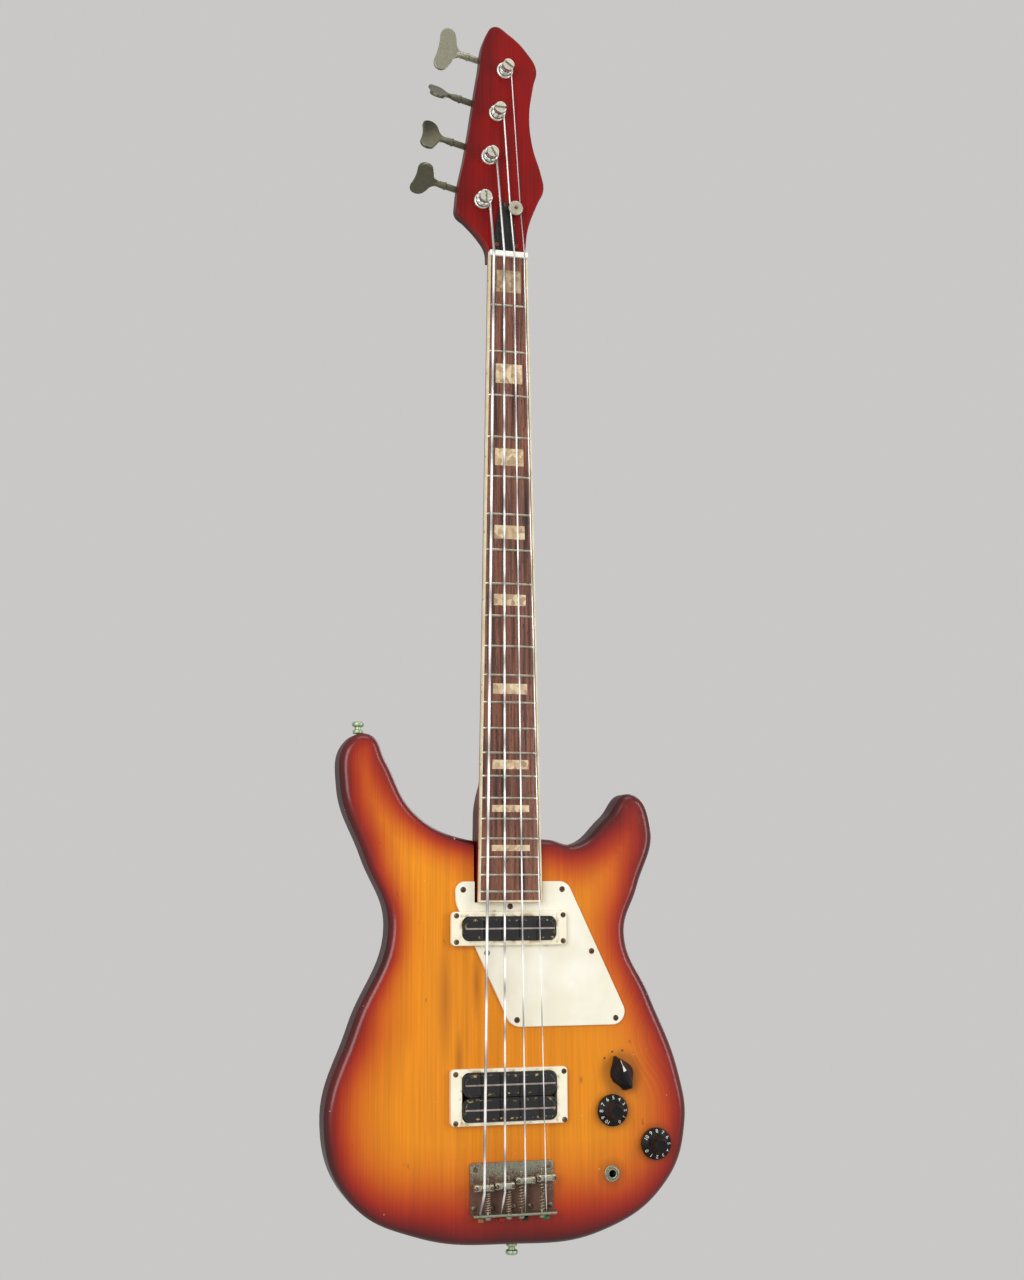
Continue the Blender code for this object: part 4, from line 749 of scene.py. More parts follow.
@dataclass(frozen=True)
class FramedPlastic(Surface):
    """Moulded plastic with a band of marks along a rectangle, round a window or along a rim: chips, or grime
    with painted shade where another part meets it.
    """

    tone: str = "#EFEAD6"
    stain: str = "#E6DFC4"
    mark: str = "#8A6A3A"
    frame: Row = (0.0, 0.0, 1.0, 1.0)     # centre and half sizes
    inner: float = -1.0         # the band of marks, counted outwards from the rectangle
    outer: float = 3.0
    share: float = 0.5          # how much of the band is marked
    patch: float = 5.0
    relief: float = 0.04

    def looks(self, node: NodeMaker, place: Socket) -> dict:
        """Build its colour, gloss and relief."""
        x, z, half_x, half_z = (value * MM for value in self.frame)
        near = node("VectorMath SUBTRACT", {0: place, 1: (x, 0, z)})
        size = node("VectorMath ABSOLUTE", {0: near})
        past = node("VectorMath SUBTRACT", {0: size, 1: (half_x, 0, half_z)})
        axes = node("SeparateXYZ", {0: past})
        out = node("Math MAXIMUM", {0: axes.outputs["X"], 1: axes.outputs["Z"]})
        rise = node("MapRange", {0: out, 1: (self.inner - 0.8) * MM, 2: self.inner * MM})
        fall = node("MapRange", {0: out, 1: self.outer * MM, 2: self.inner * MM})
        band = node("Math MULTIPLY", {0: rise, 1: fall})
        cloud = node("TexNoise", {"Vector": place, "Scale": per(self.patch), "Detail": 4.0})
        limit = 0.72 - 0.3 * self.share
        rough = node("MapRange", {0: cloud, 1: limit, 2: limit + 0.12})
        marked = node("Math MULTIPLY", {0: band, 1: rough})
        slow = node("TexNoise", {"Vector": place, "Scale": per(30), "Detail": 3.0})
        drift = node("MapRange", {0: slow, 1: 0.35, 2: 0.65})
        plain = node("Mix", {0: drift, 6: self.tone, 7: self.stain})
        colour = node("Mix", {0: marked, 6: plain, 7: self.mark})
        gloss = node("MapRange", {0: marked, 3: self.roughness, 4: min(self.roughness + 0.35, 1.0)})
        # Fine scratches are felt more than seen: 0.6 mm is coarser than real ones.
        grain = node("TexNoise", {"Vector": place, "Scale": per(0.6), "Detail": 2.0})
        bump = node("Bump", {"Height": grain, "Strength": self.relief, "Distance": 0.3 * MM})
        return {"Base Color": colour, "Roughness": gloss, "Normal": bump}


@dataclass(frozen=True)
class AgedNickel(Surface):
    """Nickel plating on steel gone dull and greenish, with brown rust where it has worn through."""

    roughness: float = 0.42
    metallic: float = 1.0
    tone: str = "#A5A598"
    stain: str = "#7E7E6C"
    rust: str = "#6A4636"
    share: float = 0.2          # how much of the plating has rusted
    patch: float = 3.0          # size of a rust spot
    line_z: float | None = None     # height under which the rust has taken nearly all
    line_depth: float = 18.0
    crust: str = "#3E2A22"      # the darker rust
    curl: float = 0.6           # how far the rust spots are drawn out into worms
    relief: float = 0.2

    def looks(self, node: NodeMaker, place: Socket) -> dict:
        """Build its colour, gloss and relief."""
        spots = node("TexNoise", {
            "Vector": place, "Scale": per(self.patch), "Detail": 6.0, "Distortion": self.curl})
        fine = node("TexNoise", {"Vector": place, "Scale": per(1.2), "Detail": 4.0})
        slow = node("TexNoise", {"Vector": place, "Scale": per(self.patch * 4), "Detail": 3.0})
        value = node("Math MULTIPLY_ADD", {0: slow, 1: 0.35, 2: spots})
        if self.line_z is not None:
            height = node("SeparateXYZ", {0: place})
            below = node("MapRange", {
                0: height.outputs["Z"], 1: self.line_z * MM, 2: (self.line_z - self.line_depth) * MM,
                3: 0.0, 4: 0.3})
            # What stands up from the plate has kept its plating.
            flat = node("MapRange", {0: height.outputs["Y"], 1: 4 * MM, 2: 8 * MM, 3: -0.4, 4: 1.0})
            below = node("Math MULTIPLY", {0: below, 1: flat})
            value = node("Math ADD", {0: value, 1: below})
        limit = 0.86 - 0.3 * self.share
        rusty = node("MapRange", {0: value, 1: limit, 2: limit + 0.06})
        tarnish = node("MapRange", {0: fine, 1: 0.35, 2: 0.68})
        metal = node("Mix", {0: tarnish, 6: self.tone, 7: self.stain})
        flaked = node("MapRange", {0: fine, 1: 0.42, 2: 0.6})
        scale = node("Mix", {0: flaked, 6: self.rust, 7: self.crust})
        colour = node("Mix", {0: rusty, 6: metal, 7: scale})
        bare = node("MapRange", {0: rusty, 3: self.metallic, 4: 0.1})
        gloss = node("MapRange", {0: rusty, 3: self.roughness, 4: 0.85})
        high = node("Math ADD", {0: rusty, 1: fine})
        bump = node("Bump", {"Height": high, "Strength": self.relief, "Distance": 0.12 * MM})
        return {"Base Color": colour, "Metallic": bare, "Roughness": gloss, "Normal": bump}


@dataclass(frozen=True)
class WoundSteel(Surface):
    """Round-wound string: a bright wrap wire whose turns give the string a fine ribbed look, with painted
    shade in the grooves between them.
    """

    roughness: float = 0.4
    metallic: float = 0.8
    tone: str = "#F0EFEC"
    groove: str = "#9C9A99"
    pitch: float = 4.2          # real turns are 0.5 mm apart; drawn far wider to show at all

    def looks(self, node: NodeMaker, place: Socket) -> dict:
        """Build its colour, gloss and relief."""
        along = node("Attribute", attribute_name="along").outputs["Fac"]
        phase = node("Math MULTIPLY", {0: along, 1: 2 * math.pi / self.pitch})
        wave = node("Math SINE", {0: phase})
        wrap = node("MapRange", {0: wave, 1: -1.0, 2: 0.3})
        # The groove tone between the turns is painted shade.
        colour = node("Mix", {0: wrap, 6: self.groove, 7: self.tone})
        bump = node("Bump", {"Height": wrap, "Strength": 0.2, "Distance": 0.15 * MM})
        return {"Base Color": colour, "Normal": bump}


@dataclass(frozen=True)
class KnobPlastic(Surface):
    """Dulled black phenolic, with skin grease and dust baked grey-brown onto the grip."""

    roughness: float = 0.4
    ior: float = 1.28
    tone: str = "#0D0D0F"
    dust: str = "#3A322C"
    centre: Flat = (0.0, 0.0)
    grip: Flat = (5.5, 9.5)      # distances from the shaft that the dust covers

    def looks(self, node: NodeMaker, place: Socket) -> dict:
        """Build its colour, gloss and relief."""
        x, z = self.centre
        flat = node("VectorMath MULTIPLY", {0: place, 1: (1.0, 0.0, 1.0)})
        away = node("VectorMath DISTANCE", {0: flat, 1: (x * MM, 0, z * MM)})
        start, end = self.grip
        rise = node("MapRange", {0: away, 1: (start - 1) * MM, 2: (start + 0.5) * MM})
        fall = node("MapRange", {0: away, 1: (end + 1) * MM, 2: (end - 1) * MM})
        band = node("Math MULTIPLY", {0: rise, 1: fall})
        cloud = node("TexNoise", {"Vector": place, "Scale": per(5), "Detail": 5.0})
        patchy = node("MapRange", {0: cloud, 1: 0.35, 2: 0.65, 3: 0.0, 4: 0.6})
        dusty = node("Math MULTIPLY", {0: band, 1: patchy})
        film = node("MapRange", {0: cloud, 1: 0.4, 2: 0.8, 3: 0.0, 4: 0.12})
        all_over = node("Math MAXIMUM", {0: dusty, 1: film})
        colour = node("Mix", {0: all_over, 6: self.tone, 7: self.dust})
        gloss = node("MapRange", {0: all_over, 3: self.roughness, 4: 0.7})
        return {"Base Color": colour, "Roughness": gloss}


# Where the strings run: the neck, the bridge and the tuners all follow from this

@dataclass(frozen=True)
class Stringing:
    """The four strings' route from their balls over the saddles and the nut to the posts."""

    scale: float = 864.0
    frets: int = 21
    diameters: Row = (2.66, 2.16, 1.66, 1.14)
    nut_pitch: float = 10.2
    crown: float = 305.0                # radius of the board's round top
    nut_rise: float = 1.5               # underside of the strings over the board
    saddle_rise: float = 5.0
    setbacks: Row = (7.0, 6.0, 2.0, 0.6)
    middle_x: float = 1.15
    saddle_pitch: float = 19.2
    hole_offsets: Row = (-1.0, -0.6, 2.4, 3.2)
    hole_y: float = 4.0
    wall_z: float = -896.5              # back of the bridge's wall
    wall: float = 2.3
    ball: float = 5.0
    posts: tuple[Flat, ...] = ((-24.4, 56.8), (-17.2, 102.2), (-9.4, 147.6), (-1.3, 192.4))
    post_waist: float = 4.7
    bushing_y: float = 4.3
    turns: Row = (2.3, 2.5, 3.0, 3.5)
    gap: float = 0.48                   # between two turns on a post
    retainer_z: float = 50.0
    retained_y: float = 1.0

    def fret(self, number: int) -> float:
        """Height of a fret, by equal temperament."""
        return -self.scale * (1 - 2 ** (-number / 12))

    def drop(self, x: float) -> float:
        """How far the round top of the board falls away beside the centre line."""
        return self.crown - math.sqrt(self.crown ** 2 - x ** 2)

    def nut(self, index: int) -> Place:
        """Centre of a string where it breaks over the nut."""
        x = (index - 1.5) * self.nut_pitch
        return (x, self.drop(x) - self.nut_rise - self.diameters[index] / 2, 0.0)

    def saddle(self, index: int) -> Place:
        """Centre of a string where it breaks over its saddle."""
        x = self.middle_x + (index - 1.5) * self.saddle_pitch
        return (x, -self.saddle_rise - self.diameters[index] / 2, -self.scale - self.setbacks[index])

    def hole_x(self, index: int) -> float:
        """Sideways place of a string's hole in the wall."""
        return self.saddle(index)[0] + self.hole_offsets[index]

    def coil(self, index: int) -> float:
        """Radius of a string's winding, from the post's axis to the string's."""
        return self.post_waist + SEAT + self.diameters[index] / 2 + 0.15

    def held(self, index: int) -> Place:
        """Where the retainer holds a thin string down."""
        x, z = self.posts[index]
        start = self.nut(index)[0]
        share = self.retainer_z / z
        return (start + (x + self.coil(index) - start) * share, self.retained_y, self.retainer_z)

    def winding(self, index: int, arrival: Flat, steps: int = 36) -> list[Place]:
        """Points of a string round its post, from where it arrives to its end."""
        radius = self.diameters[index] / 2
        x, z = self.posts[index]
        coil = self.coil(index)
        top = self.bushing_y - SEAT - radius
        direction = Vector((x + coil, z)) - Vector(arrival)
        first = math.atan2(-direction.x, direction.y)
        points = []
        for step in range(round(self.turns[index] * steps) + 1):
            angle = first + 2 * math.pi * step / steps
            depth = top - (2 * radius + self.gap) * step / steps
            points.append((x + coil * math.cos(angle), depth, z + coil * math.sin(angle)))
        return points

    def route(self, index: int) -> list[Place]:
        """All points of a string from its ball to the end of its winding."""
        x, y, z = self.saddle(index)
        nut = self.nut(index)
        slope = (nut[1] - y) / -z
        ball = self.wall_z - SEAT - self.ball / 2
        # The string bends over its saddle in a curve as wide as the saddle's top.
        bend = [(x, y + 0.55, z - 4.8), (x, y + 0.16, z - 3.2), (x, y + 0.02, z - 1.2), (x, y, z + 0.6)]
        route = [
            (self.hole_x(index), self.hole_y, ball),
            (self.hole_x(index), self.hole_y, self.wall_z + self.wall + 1.0), *bend, nut,
            (nut[0], nut[1] + slope * 6, 6.0)]
        if index > 1:
            route.append(self.held(index))
        return route + self.winding(index, (route[-1][0], route[-1][2]))


RUN = Stringing()


@dataclass(frozen=True)
class ScrewHead:
    """Oval cross-head screw, of which only the head shows."""

    radius: float = 2.6
    rise: float = 1.0
    sunk: float = 0.5
    cross: float = 0.62         # width of the cross's arms
    reach: float = 0.62         # length of an arm as a share of the radius

    def drive(
            self, name: str, feet: Sequence[Place], finish: Finish, slot: str = "steel",
            axis: Place = TOWARDS_PLAYER, within: Matrix | None = None) -> None:
        """Put a head on every foot, on the guitar's own body.

        Args:
            name: The name of the heads as one piece.
            feet: Where each head sits.
            finish: Their material.
            slot: The record's material slot.
            axis: The direction that the heads face.
            within: The frame that the feet are counted in, where it is not the part's.
        """
        made = self.heads(name, feet, axis)
        put_on(moved(made, within) if within else made, "guitar", finish, slot)

    def heads(self, name: str, feet: Sequence[Place], axis: Place) -> Piece:
        """Model one head and copy it to every foot, each turned its own way, as one piece."""
        r, rise = self.radius, self.rise
        profile = [(0, rise), (r * 0.45, rise * 0.93), (r * 0.8, rise * 0.6), (r, 0.1), (r, -self.sunk),
                   (0, -self.sunk)]
        head = turned(name, profile, (0, 0, 0), (0, 0, 1), 28)
        arm, long = self.cross / 2, r * self.reach
        carve(head, box("arm", (-arm, -long, rise * 0.35), (arm, long, rise + 1)),
              box("arm", (-long, -arm, rise * 0.35), (long, arm, rise + 1)))
        smooth(head, 40)
        upright = Vector((0, 0, 1)).rotation_difference(Vector(axis)).to_matrix().to_4x4()
        copies = [
            copied(head, Matrix.Translation(foot) @ upright @ Matrix.Rotation(0.9 * i + 0.3, 4, "Z"))
            for i, foot in enumerate(feet)]
        bpy.data.objects.remove(head)
        made = fused(name, copies)
        return made


# Sub-assemblies

@dataclass(frozen=True)
class Body:
    """Double-cutaway body with its routes, the neck's pocket, the control cavity and its holes."""

    front: float = 11.0
    back: float = 49.0
    rounding: float = 8.5
    steps: int = 7
    grid: float = 7.0           # spacing of the points that carry the distance to the rim
    lid: float = 5.0
    knots: tuple[Flat, ...] = (
        (-149.5, -468), (-129.5, -463), (-115, -487), (-88, -534), (-44, -557.5), (42, -559),
        (68, -563), (99, -538), (123.5, -515.5), (143.5, -547), (129, -603), (115.5, -647),
        (139, -703), (168, -777), (173.5, -823), (154, -876), (92, -917), (0, -924.5), (-86, -914),
        (-145, -881), (-169.5, -815), (-145, -728), (-111.5, -638), (-134, -575), (-157, -510))
    cavity: tuple[Flat, ...] = (
        (84, -757), (112, -750), (142, -762), (156, -795), (158, -833), (145, -864), (112, -884),
        (84, -876), (77, -842), (78, -790))
    pocket: tuple[Place, Place] = ((-32.6, 5.0, -617.0), (32.6, 33.1, -540.0))
    routes: tuple[tuple[Place, Place], ...] = (
        ((-47.1, 6.0, -653.2), (45.9, 21.6, -628.2)), ((-47.1, 6.0, -814.3), (45.9, 23.0, -769.7)))
    controls: tuple[Row, ...] = (
        (108.6, -775.1, 5.1), (99.4, -808.4, 5.1), (141.7, -840.2, 5.1), (98.7, -865.5, 5.2))
    finish: SunburstLacquer = SunburstLacquer(
        "sunburst_lacquer_over_wood", 0.36, ior=1.28, coat=0.5,
        passes=(
            (-113, -645, 95, 1.75), (-62, -550, 75, 1.4), (-142, -490, 60, 0.9), (132, -522, 85, 0.55),
            (75, -566, 60, 0.85), (172, -800, 110, 0.8), (0, -935, 210, 0.46)),
        stains=((-60, -704, 8, 66), (-47, -760, 5, 30), (69.5, -780, 2.5, 5), (-30, -690, 6, 40)),
        # Rings round the controls, darkened by grime and painted shadow.
        grimy=((108.6, -775.1, 17), (99.4, -808.4, 14.5), (141.7, -840.2, 14.5), (98.7, -865.5, 9.5)))

    def outline(self) -> list[Flat]:
        """The body's outline, finely."""
        return anticlockwise(traced(self.knots, 12))

    def sections(self) -> list[list[Place]]:
        """The outline drawn in at each depth of the round edges."""
        quarter = [math.pi / 2 * step / self.steps for step in range(self.steps + 1)]
        rims = [
            (self.rounding * (1 - math.sin(a)) + 0.05, self.rounding * (1 - math.cos(a))) for a in quarter]
        rings = [(inset, self.front + depth) for inset, depth in rims]
        rings += [(inset, self.back - depth) for inset, depth in reversed(rims)]
        outline = self.outline()
        return [[(x, y, z) for x, z in grown(outline, -inset)] for inset, y in rings]

    def hollows(self) -> list[Piece]:
        """Cutters for everything that is let into the body."""
        cavity = anticlockwise(traced(self.cavity, 10))
        under = self.front + self.lid
        tools = [box("pocket", *self.pocket)] + [box("route", *corners) for corners in self.routes]
        tools.append(plate("cavity", cavity, under, self.back + REACH))
        tools.append(plate("recess", grown(cavity, 6.0), self.back - 2.5, self.back + REACH))
        for x, z, radius in self.controls:
            tools.append(rod("bore", (x, self.front - 3, z), (x, under + 2, z), radius))
        return tools

    def mark_depth(self, body: Piece) -> None:
        """Store at every point how far it lies from the body's outline, in millimetres."""
        outline = self.outline()
        tree = kdtree.KDTree(len(outline) * 6)
        for index, (before, after) in enumerate(zip(outline, outline[1:] + outline[:1])):
            for step in range(6):
                point = Vector(before).lerp(Vector(after), step / 6)
                tree.insert((point.x, 0, point.y), index * 6 + step)
        tree.balance()
        mark = body.data.attributes.new("edge", "FLOAT", "POINT")
        mark.data.foreach_set("value", [
            tree.find((v.co.x / MM, 0, v.co.z / MM))[2] for v in body.data.vertices])

    def divide(self, body: Piece) -> None:
        """Cut the broad faces into a grid, which carries the colour's distances.

        The round rim is left out of it, so that its shading stays even.
        """
        with editing(body, everything=False):
            pick_faces(body, lambda normal: abs(normal.y) > 0.999)
            bpy.ops.mesh.hide(unselected=True)
            for axis, low, high in ((0, -176, 176), (2, -924, -464)):
                for step in range(int((high - low) / self.grid)):
                    at = [0.0, 0.0, 0.0]
                    at[axis] = (low + step * self.grid) * MM
                    normal = (1, 0, 0) if axis == 0 else (0, 0, 1)
                    bpy.ops.mesh.select_all(action="SELECT")
                    bpy.ops.mesh.bisect(plane_co=at, plane_no=normal)
            bpy.ops.mesh.reveal(select=False)

    def build(self) -> None:
        """Build the body and put it on the frame."""
        body = loft("body_shape", self.sections())
        carve(body, *self.hollows())
        self.divide(body)
        smooth(body, 30)
        modify(body, "WEIGHTED_NORMAL", keep_sharp=True)
        self.mark_depth(body)
        put_on(body, "guitar", self.finish.made(), "sunburst_lacquer", "body")


@dataclass(frozen=True)
class Board:
    """The tapered board with a round top that the neck, frets, inlays and binding follow."""

    nut_width: float = 38.0
    end_width: float = 61.0
    thickness: float = 6.0
    overrun: float = 9.6            # board past the last fret
    binding: float = 1.7

    @property
    def end(self) -> float:
        """Height of the board's lower end."""
        return RUN.fret(RUN.frets) - self.overrun

    def half(self, z: float) -> float:
        """Half the board's width at a height."""
        return (self.nut_width + (self.end_width - self.nut_width) * z / self.end) / 2

    def section(self, z: float, inset: float = 0.0, rise: float = 0.0, under: float = 6.0) -> list[Place]:
        """Cross-section of the board, or of a slab in its round top.

        Args:
            z: The height of the section.
            inset: How far its sides lie inside the board's.
            rise: How far its top stands over the board's.
            under: Depth of its underside.
        """
        half = self.half(z) - inset
        xs = [half * (step - 8) / 8 for step in range(17)]
        return [(x, RUN.drop(x) - rise, z) for x in xs] + [(half, under, z), (-half, under, z)]


BOARD = Board()


@dataclass(frozen=True)
class Neck:
    """Neck and headstock in one piece of wood, with the truss rod's channel and the tuners' holes."""

    top: float = 6.3
    head_back: float = 21.3
    depth: float = 14.8
    growth: float = 3.4
    heel_top: float = -505.0
    blend: float = 32.0
    heel_depth: float = 26.5
    flare: float = 0.2
    rim: float = 1.7
    hole: float = 7.9
    head: tuple[Flat, ...] = (
        (18.6, -3), (19.6, 12), (22.6, 34), (31.5, 58), (38.3, 74), (36, 89), (27.5, 117), (24.3, 148),
        (28.5, 180), (31.6, 197), (22, 214), (3, 231), (-12, 237.5), (-20.5, 226), (-27.3, 190),
        (-40.5, 107), (-50, 54), (-49.5, 43), (-40, 34.5), (-27, 21), (-20, 10), (-18.6, -3))
    finish: CherryLacquer = CherryLacquer("cherry_lacquer_over_wood", 0.36, ior=1.28, coat=0.12)

    def section(self, z: float) -> list[Place]:
        """Cross-section under the board, a half round that turns square at the heel."""
        heel = min(max((self.heel_top - z) / self.blend, 0.0), 1.0)
        ease = heel * heel * (3 - 2 * heel)
        half = BOARD.half(z) + self.flare * ease
        depth = self.depth + self.growth * min(z / self.heel_top, 1.0)
        depth += (self.heel_depth - depth) * ease
        power = 2.1 + 12 * ease
        points = []
        for step in range(33):
            angle = math.pi * step / 32
            across = math.copysign(abs(math.cos(angle)) ** (2 / power), math.cos(angle))
            points.append((half * across, self.top + depth * abs(math.sin(angle)) ** (2 / power), z))
        return points

    def build(self) -> None:
        """Build it and put it on the frame."""
        heights = [2.0] + [-20.0 * step for step in range(1, 26)]
        heights += [self.heel_top - self.blend * step / 8 for step in range(9)] + [-575.0, BOARD.end]
        neck = loft("neck_and_headstock", [self.section(z) for z in heights])
        outline = grown(anticlockwise(traced(self.head, 8, closed=False)), -0.25)
        head = plate("head", outline, self.top, self.head_back)
        round_rim(head, self.top, self.rim)
        round_rim(head, self.head_back, self.rim)
        carve(neck, head, how=Cut.TOGETHER)
        mouth = rounded_rectangle((0, 14), 10, 32, 4)
        tools = [plate("mouth", mouth, self.top - REACH, self.top + 9)]
        tools.append(box("channel", (-3.3, self.top - REACH, -576.0), (3.3, self.top + 6.6, 0)))
        for x, z in RUN.posts:
            tools.append(rod("hole", (x, self.top - REACH, z), (x, self.head_back + REACH, z), self.hole))
        carve(neck, *tools)
        smooth(neck, 32)
        modify(neck, "WEIGHTED_NORMAL", keep_sharp=True)
        put_on(neck, "guitar", self.finish.made(), "cherry_lacquer", "neck")


@dataclass(frozen=True)
class Fingerboard:
    """Rosewood board with nickel-silver frets, pearly blocks, side dots and a cream binding."""

    fret_radius: float = 1.25
    fret_sink: float = 0.25
    blocks: tuple[tuple[int, float], ...] = (
        (1, 21.9), (3, 18.9), (5, 16.6), (7, 13.0), (9, 10.7), (12, 9.8), (15, 8.6), (17, 6.4),
        (19, 5.6))                  # fret over which a block ends, and its length
    block_share: float = 0.62       # of the board's width
    wood: Rosewood = Rosewood("oiled_rosewood", 0.46)
    metal: Mottled = Mottled("nickel_silver_frets", 0.28, "#C6BFAE", "#9C9483", metallic=1.0, patch=9.0)
    pearl: Pearloid = Pearloid("pearly_celluloid", 0.3, coat=0.3)
    cream: Mottled = Mottled("aged_cream_binding", 0.38, "#E9DFC0", "#D2BF92", patch=22.0)
    dark: Mottled = Mottled("side_dots", 0.4, "#1E1A18", "#2A2522")

    def middle(self, fret: int) -> float:
        """Height half-way from the fret before to a fret."""
        return (RUN.fret(fret - 1) + RUN.fret(fret)) / 2

    def board(self) -> None:
        """The wood."""
        inset = BOARD.binding + 0.08
        heights = [-SEAT] + [RUN.fret(number) for number in range(1, RUN.frets + 1)]
        heights.append(BOARD.end + BOARD.binding + 0.08)
        wood = loft("rosewood_board", [BOARD.section(z, inset) for z in heights])
        put_on(smooth(wood, 30), "guitar", self.wood.made(), "rosewood", "fingerboard")

    def frets(self) -> None:
        """The frets, each a crowned wire that ends at the binding with its corners dressed."""
        wires = []
        for number in range(1, RUN.frets + 1):
            z = RUN.fret(number)
            half = BOARD.half(z) - BOARD.binding - 0.25
            crown = [((half - 0.7) * (step - 8) / 8, 0.0) for step in range(17)]
            bends = [(-half, 0.45), *crown, (half, 0.45)]
            route = [(x, RUN.drop(x) + self.fret_sink + low, z) for x, low in bends]
            wires.append(wire("fret", route, self.fret_radius, 4))
        frets = fused("frets", wires)
        put_on(frets, "guitar", self.metal.made(), "aged_nickel")

    def inlays(self) -> None:
        """The pearly blocks, flush in the round top, and the dots in the binding's side."""
        slabs = []
        for number, length in self.blocks:
            middle = self.middle(number)
            inset = BOARD.half(middle) * (1 - self.block_share)
            ends = [middle + length / 2, middle - length / 2]
            slabs.append(loft("block", [BOARD.section(z, inset, 0.04, 1.6) for z in ends]))
        made = fused("inlay_blocks", slabs)
        put_on(smooth(made, 30), "guitar", self.pearl.made(), "cream_plastic")
        dots = []
        for number, _ in self.blocks:
            shifts = (-3.5, 3.5) if number == 12 else (0.0,)
            for shift in shifts:
                z = self.middle(number) + shift
                side = -BOARD.half(z)
                dots.append(rod("dot", (side - 0.06, 3.4, z), (side + 1.0, 3.4, z), 1.0, 20))
        made = fused("side_dots", dots)
        put_on(smooth(made), "guitar", self.dark.made(), "black_plastic")

    def binding(self) -> None:
        """The cream strip down both sides and across the end."""
        heights = [-SEAT, -150.0, -300.0, -450.0, BOARD.end]
        strip = loft("cream_binding", [BOARD.section(z) for z in heights])
        inset = BOARD.binding
        foot, top = BOARD.end + inset, 5.0
        low, high = BOARD.half(foot) - inset, BOARD.half(top) - inset
        carve(strip, plate("inside", [(-high, top), (-low, foot), (low, foot), (high, top)], -REACH, 12.0))
        put_on(smooth(strip, 30), "guitar", self.cream.made(), "cream_plastic", "fingerboard_binding")

    def build(self) -> None:
        """Build all of it."""
        self.board()
        self.frets()
        self.inlays()
        self.binding()


@dataclass(frozen=True)
class HeadFittings:
    """The nut, the truss rod's cover and the string retainer."""

    bone: Mottled = Mottled("bone_nut", 0.36, "#EFEDE6", "#DEDACB", patch=5.0)
    black: Mottled = Mottled("black_cover_plastic", 0.3, "#101113", "#1B1B1D", patch=9.0)
    nickel: AgedNickel = AgedNickel(
        "aged_nickel_retainer", 0.44, "#C2C0B1", "#A8A694", share=0.0, relief=0.05)
    rusty: AgedNickel = AgedNickel(
        "orange_rusted_screws", 0.6, "#A9693F", "#8A4A26", rust="#8E4420", share=0.7)
    steel: Mottled = Mottled("truss_rod_steel", 0.45, "#8F8A80", "#6C655A", metallic=1.0)
    cover_x: float = -1.9
    cover_front: float = 4.4
    cover_back: float = 6.0
    screws: tuple[Flat, ...] = ((-1.4, 54.3), (-10.4, 13.6), (9.4, 13.4))
    retainer: float = 7.25

    def nut(self) -> None:
        """White nut with a round slot for each string."""
        half = BOARD.nut_width / 2
        nut = rounded(box("bone_nut", (-half, -3.0, 0.0), (half, BOARD.thickness, 5.5)), 0.8, 3)
        for index in range(4):
            x, y, _ = RUN.nut(index)
            reach = RUN.diameters[index] / 2 + 0.12
            carve(nut, rod("slot", (x, y, -1), (x, y, 7), reach),
                  box("mouth", (x - reach, -6, -1), (x + reach, y, 7)))
        put_on(smooth(nut), "guitar", self.bone.made(), "white_nut", "nut")

    def cover(self) -> None:
        """Bell-shaped black cover with its three screws."""
        x, low, high = self.cover_x, 5.8, 57.8
        side = [(x + 13.4, low), (x + 12.8, low + 3), (x + 11.2, low + 12), (x + 9.8, low + 22),
                (x + 8.5, low + 31), (x + 7.3, high - 13)]
        crown = arc((x, high - 5.9), 5.9, 20, 160, 12)
        mirror = [(2 * x - px, pz) for px, pz in reversed(side)]
        cover = plate("truss_cover", side + crown + mirror, self.cover_front, self.cover_back)
        round_rim(cover, self.cover_front, 0.5, 2)
        put_on(smooth(cover), "guitar", self.black.made(), "black_plastic", "truss_rod_cover")
        feet = [(sx, self.cover_front, sz) for sx, sz in self.screws]
        ScrewHead(1.9, 0.7).drive("truss_cover_screws", feet, self.rusty.made(), "aged_nickel")

    def string_retainer(self) -> None:
        """Round retainer that holds the two thin strings down, with its screw's cross."""
        x = (RUN.held(2)[0] + RUN.held(3)[0]) / 2
        under = RUN.retained_y - RUN.diameters[2] / 2 - SEAT
        r = self.retainer
        profile = [
            (0, 1.55 - under), (2.3, 1.6 - under), (2.5, 2.0 - under), (r - 1.6, 2.0 - under),
            (r - 0.6, 1.7 - under), (r, 1.0 - under), (r, 0.3 - under), (r - 0.3, -under), (2.8, -under),
            (2.8, -6.0), (0, -6.0)]
        disc = turned("string_tree", profile, (x, 0, RUN.retainer_z), steps=48)
        put_on(smooth(disc, 30), "guitar", self.nickel.made(), "aged_nickel", "string_retainer")
        ScrewHead(1.8, 0.35, 0.1, 0.55, 0.8).drive(
            "string_tree_screw", [(x, under - 1.6, RUN.retainer_z)], self.rusty.made(), "aged_nickel")

    def build(self) -> None:
        """Build all of it, and give the truss rod, which lies hidden, its steel."""
        self.nut()
        self.cover()
        self.string_retainer()
        coat_hidden("truss_rod", self.steel.made())


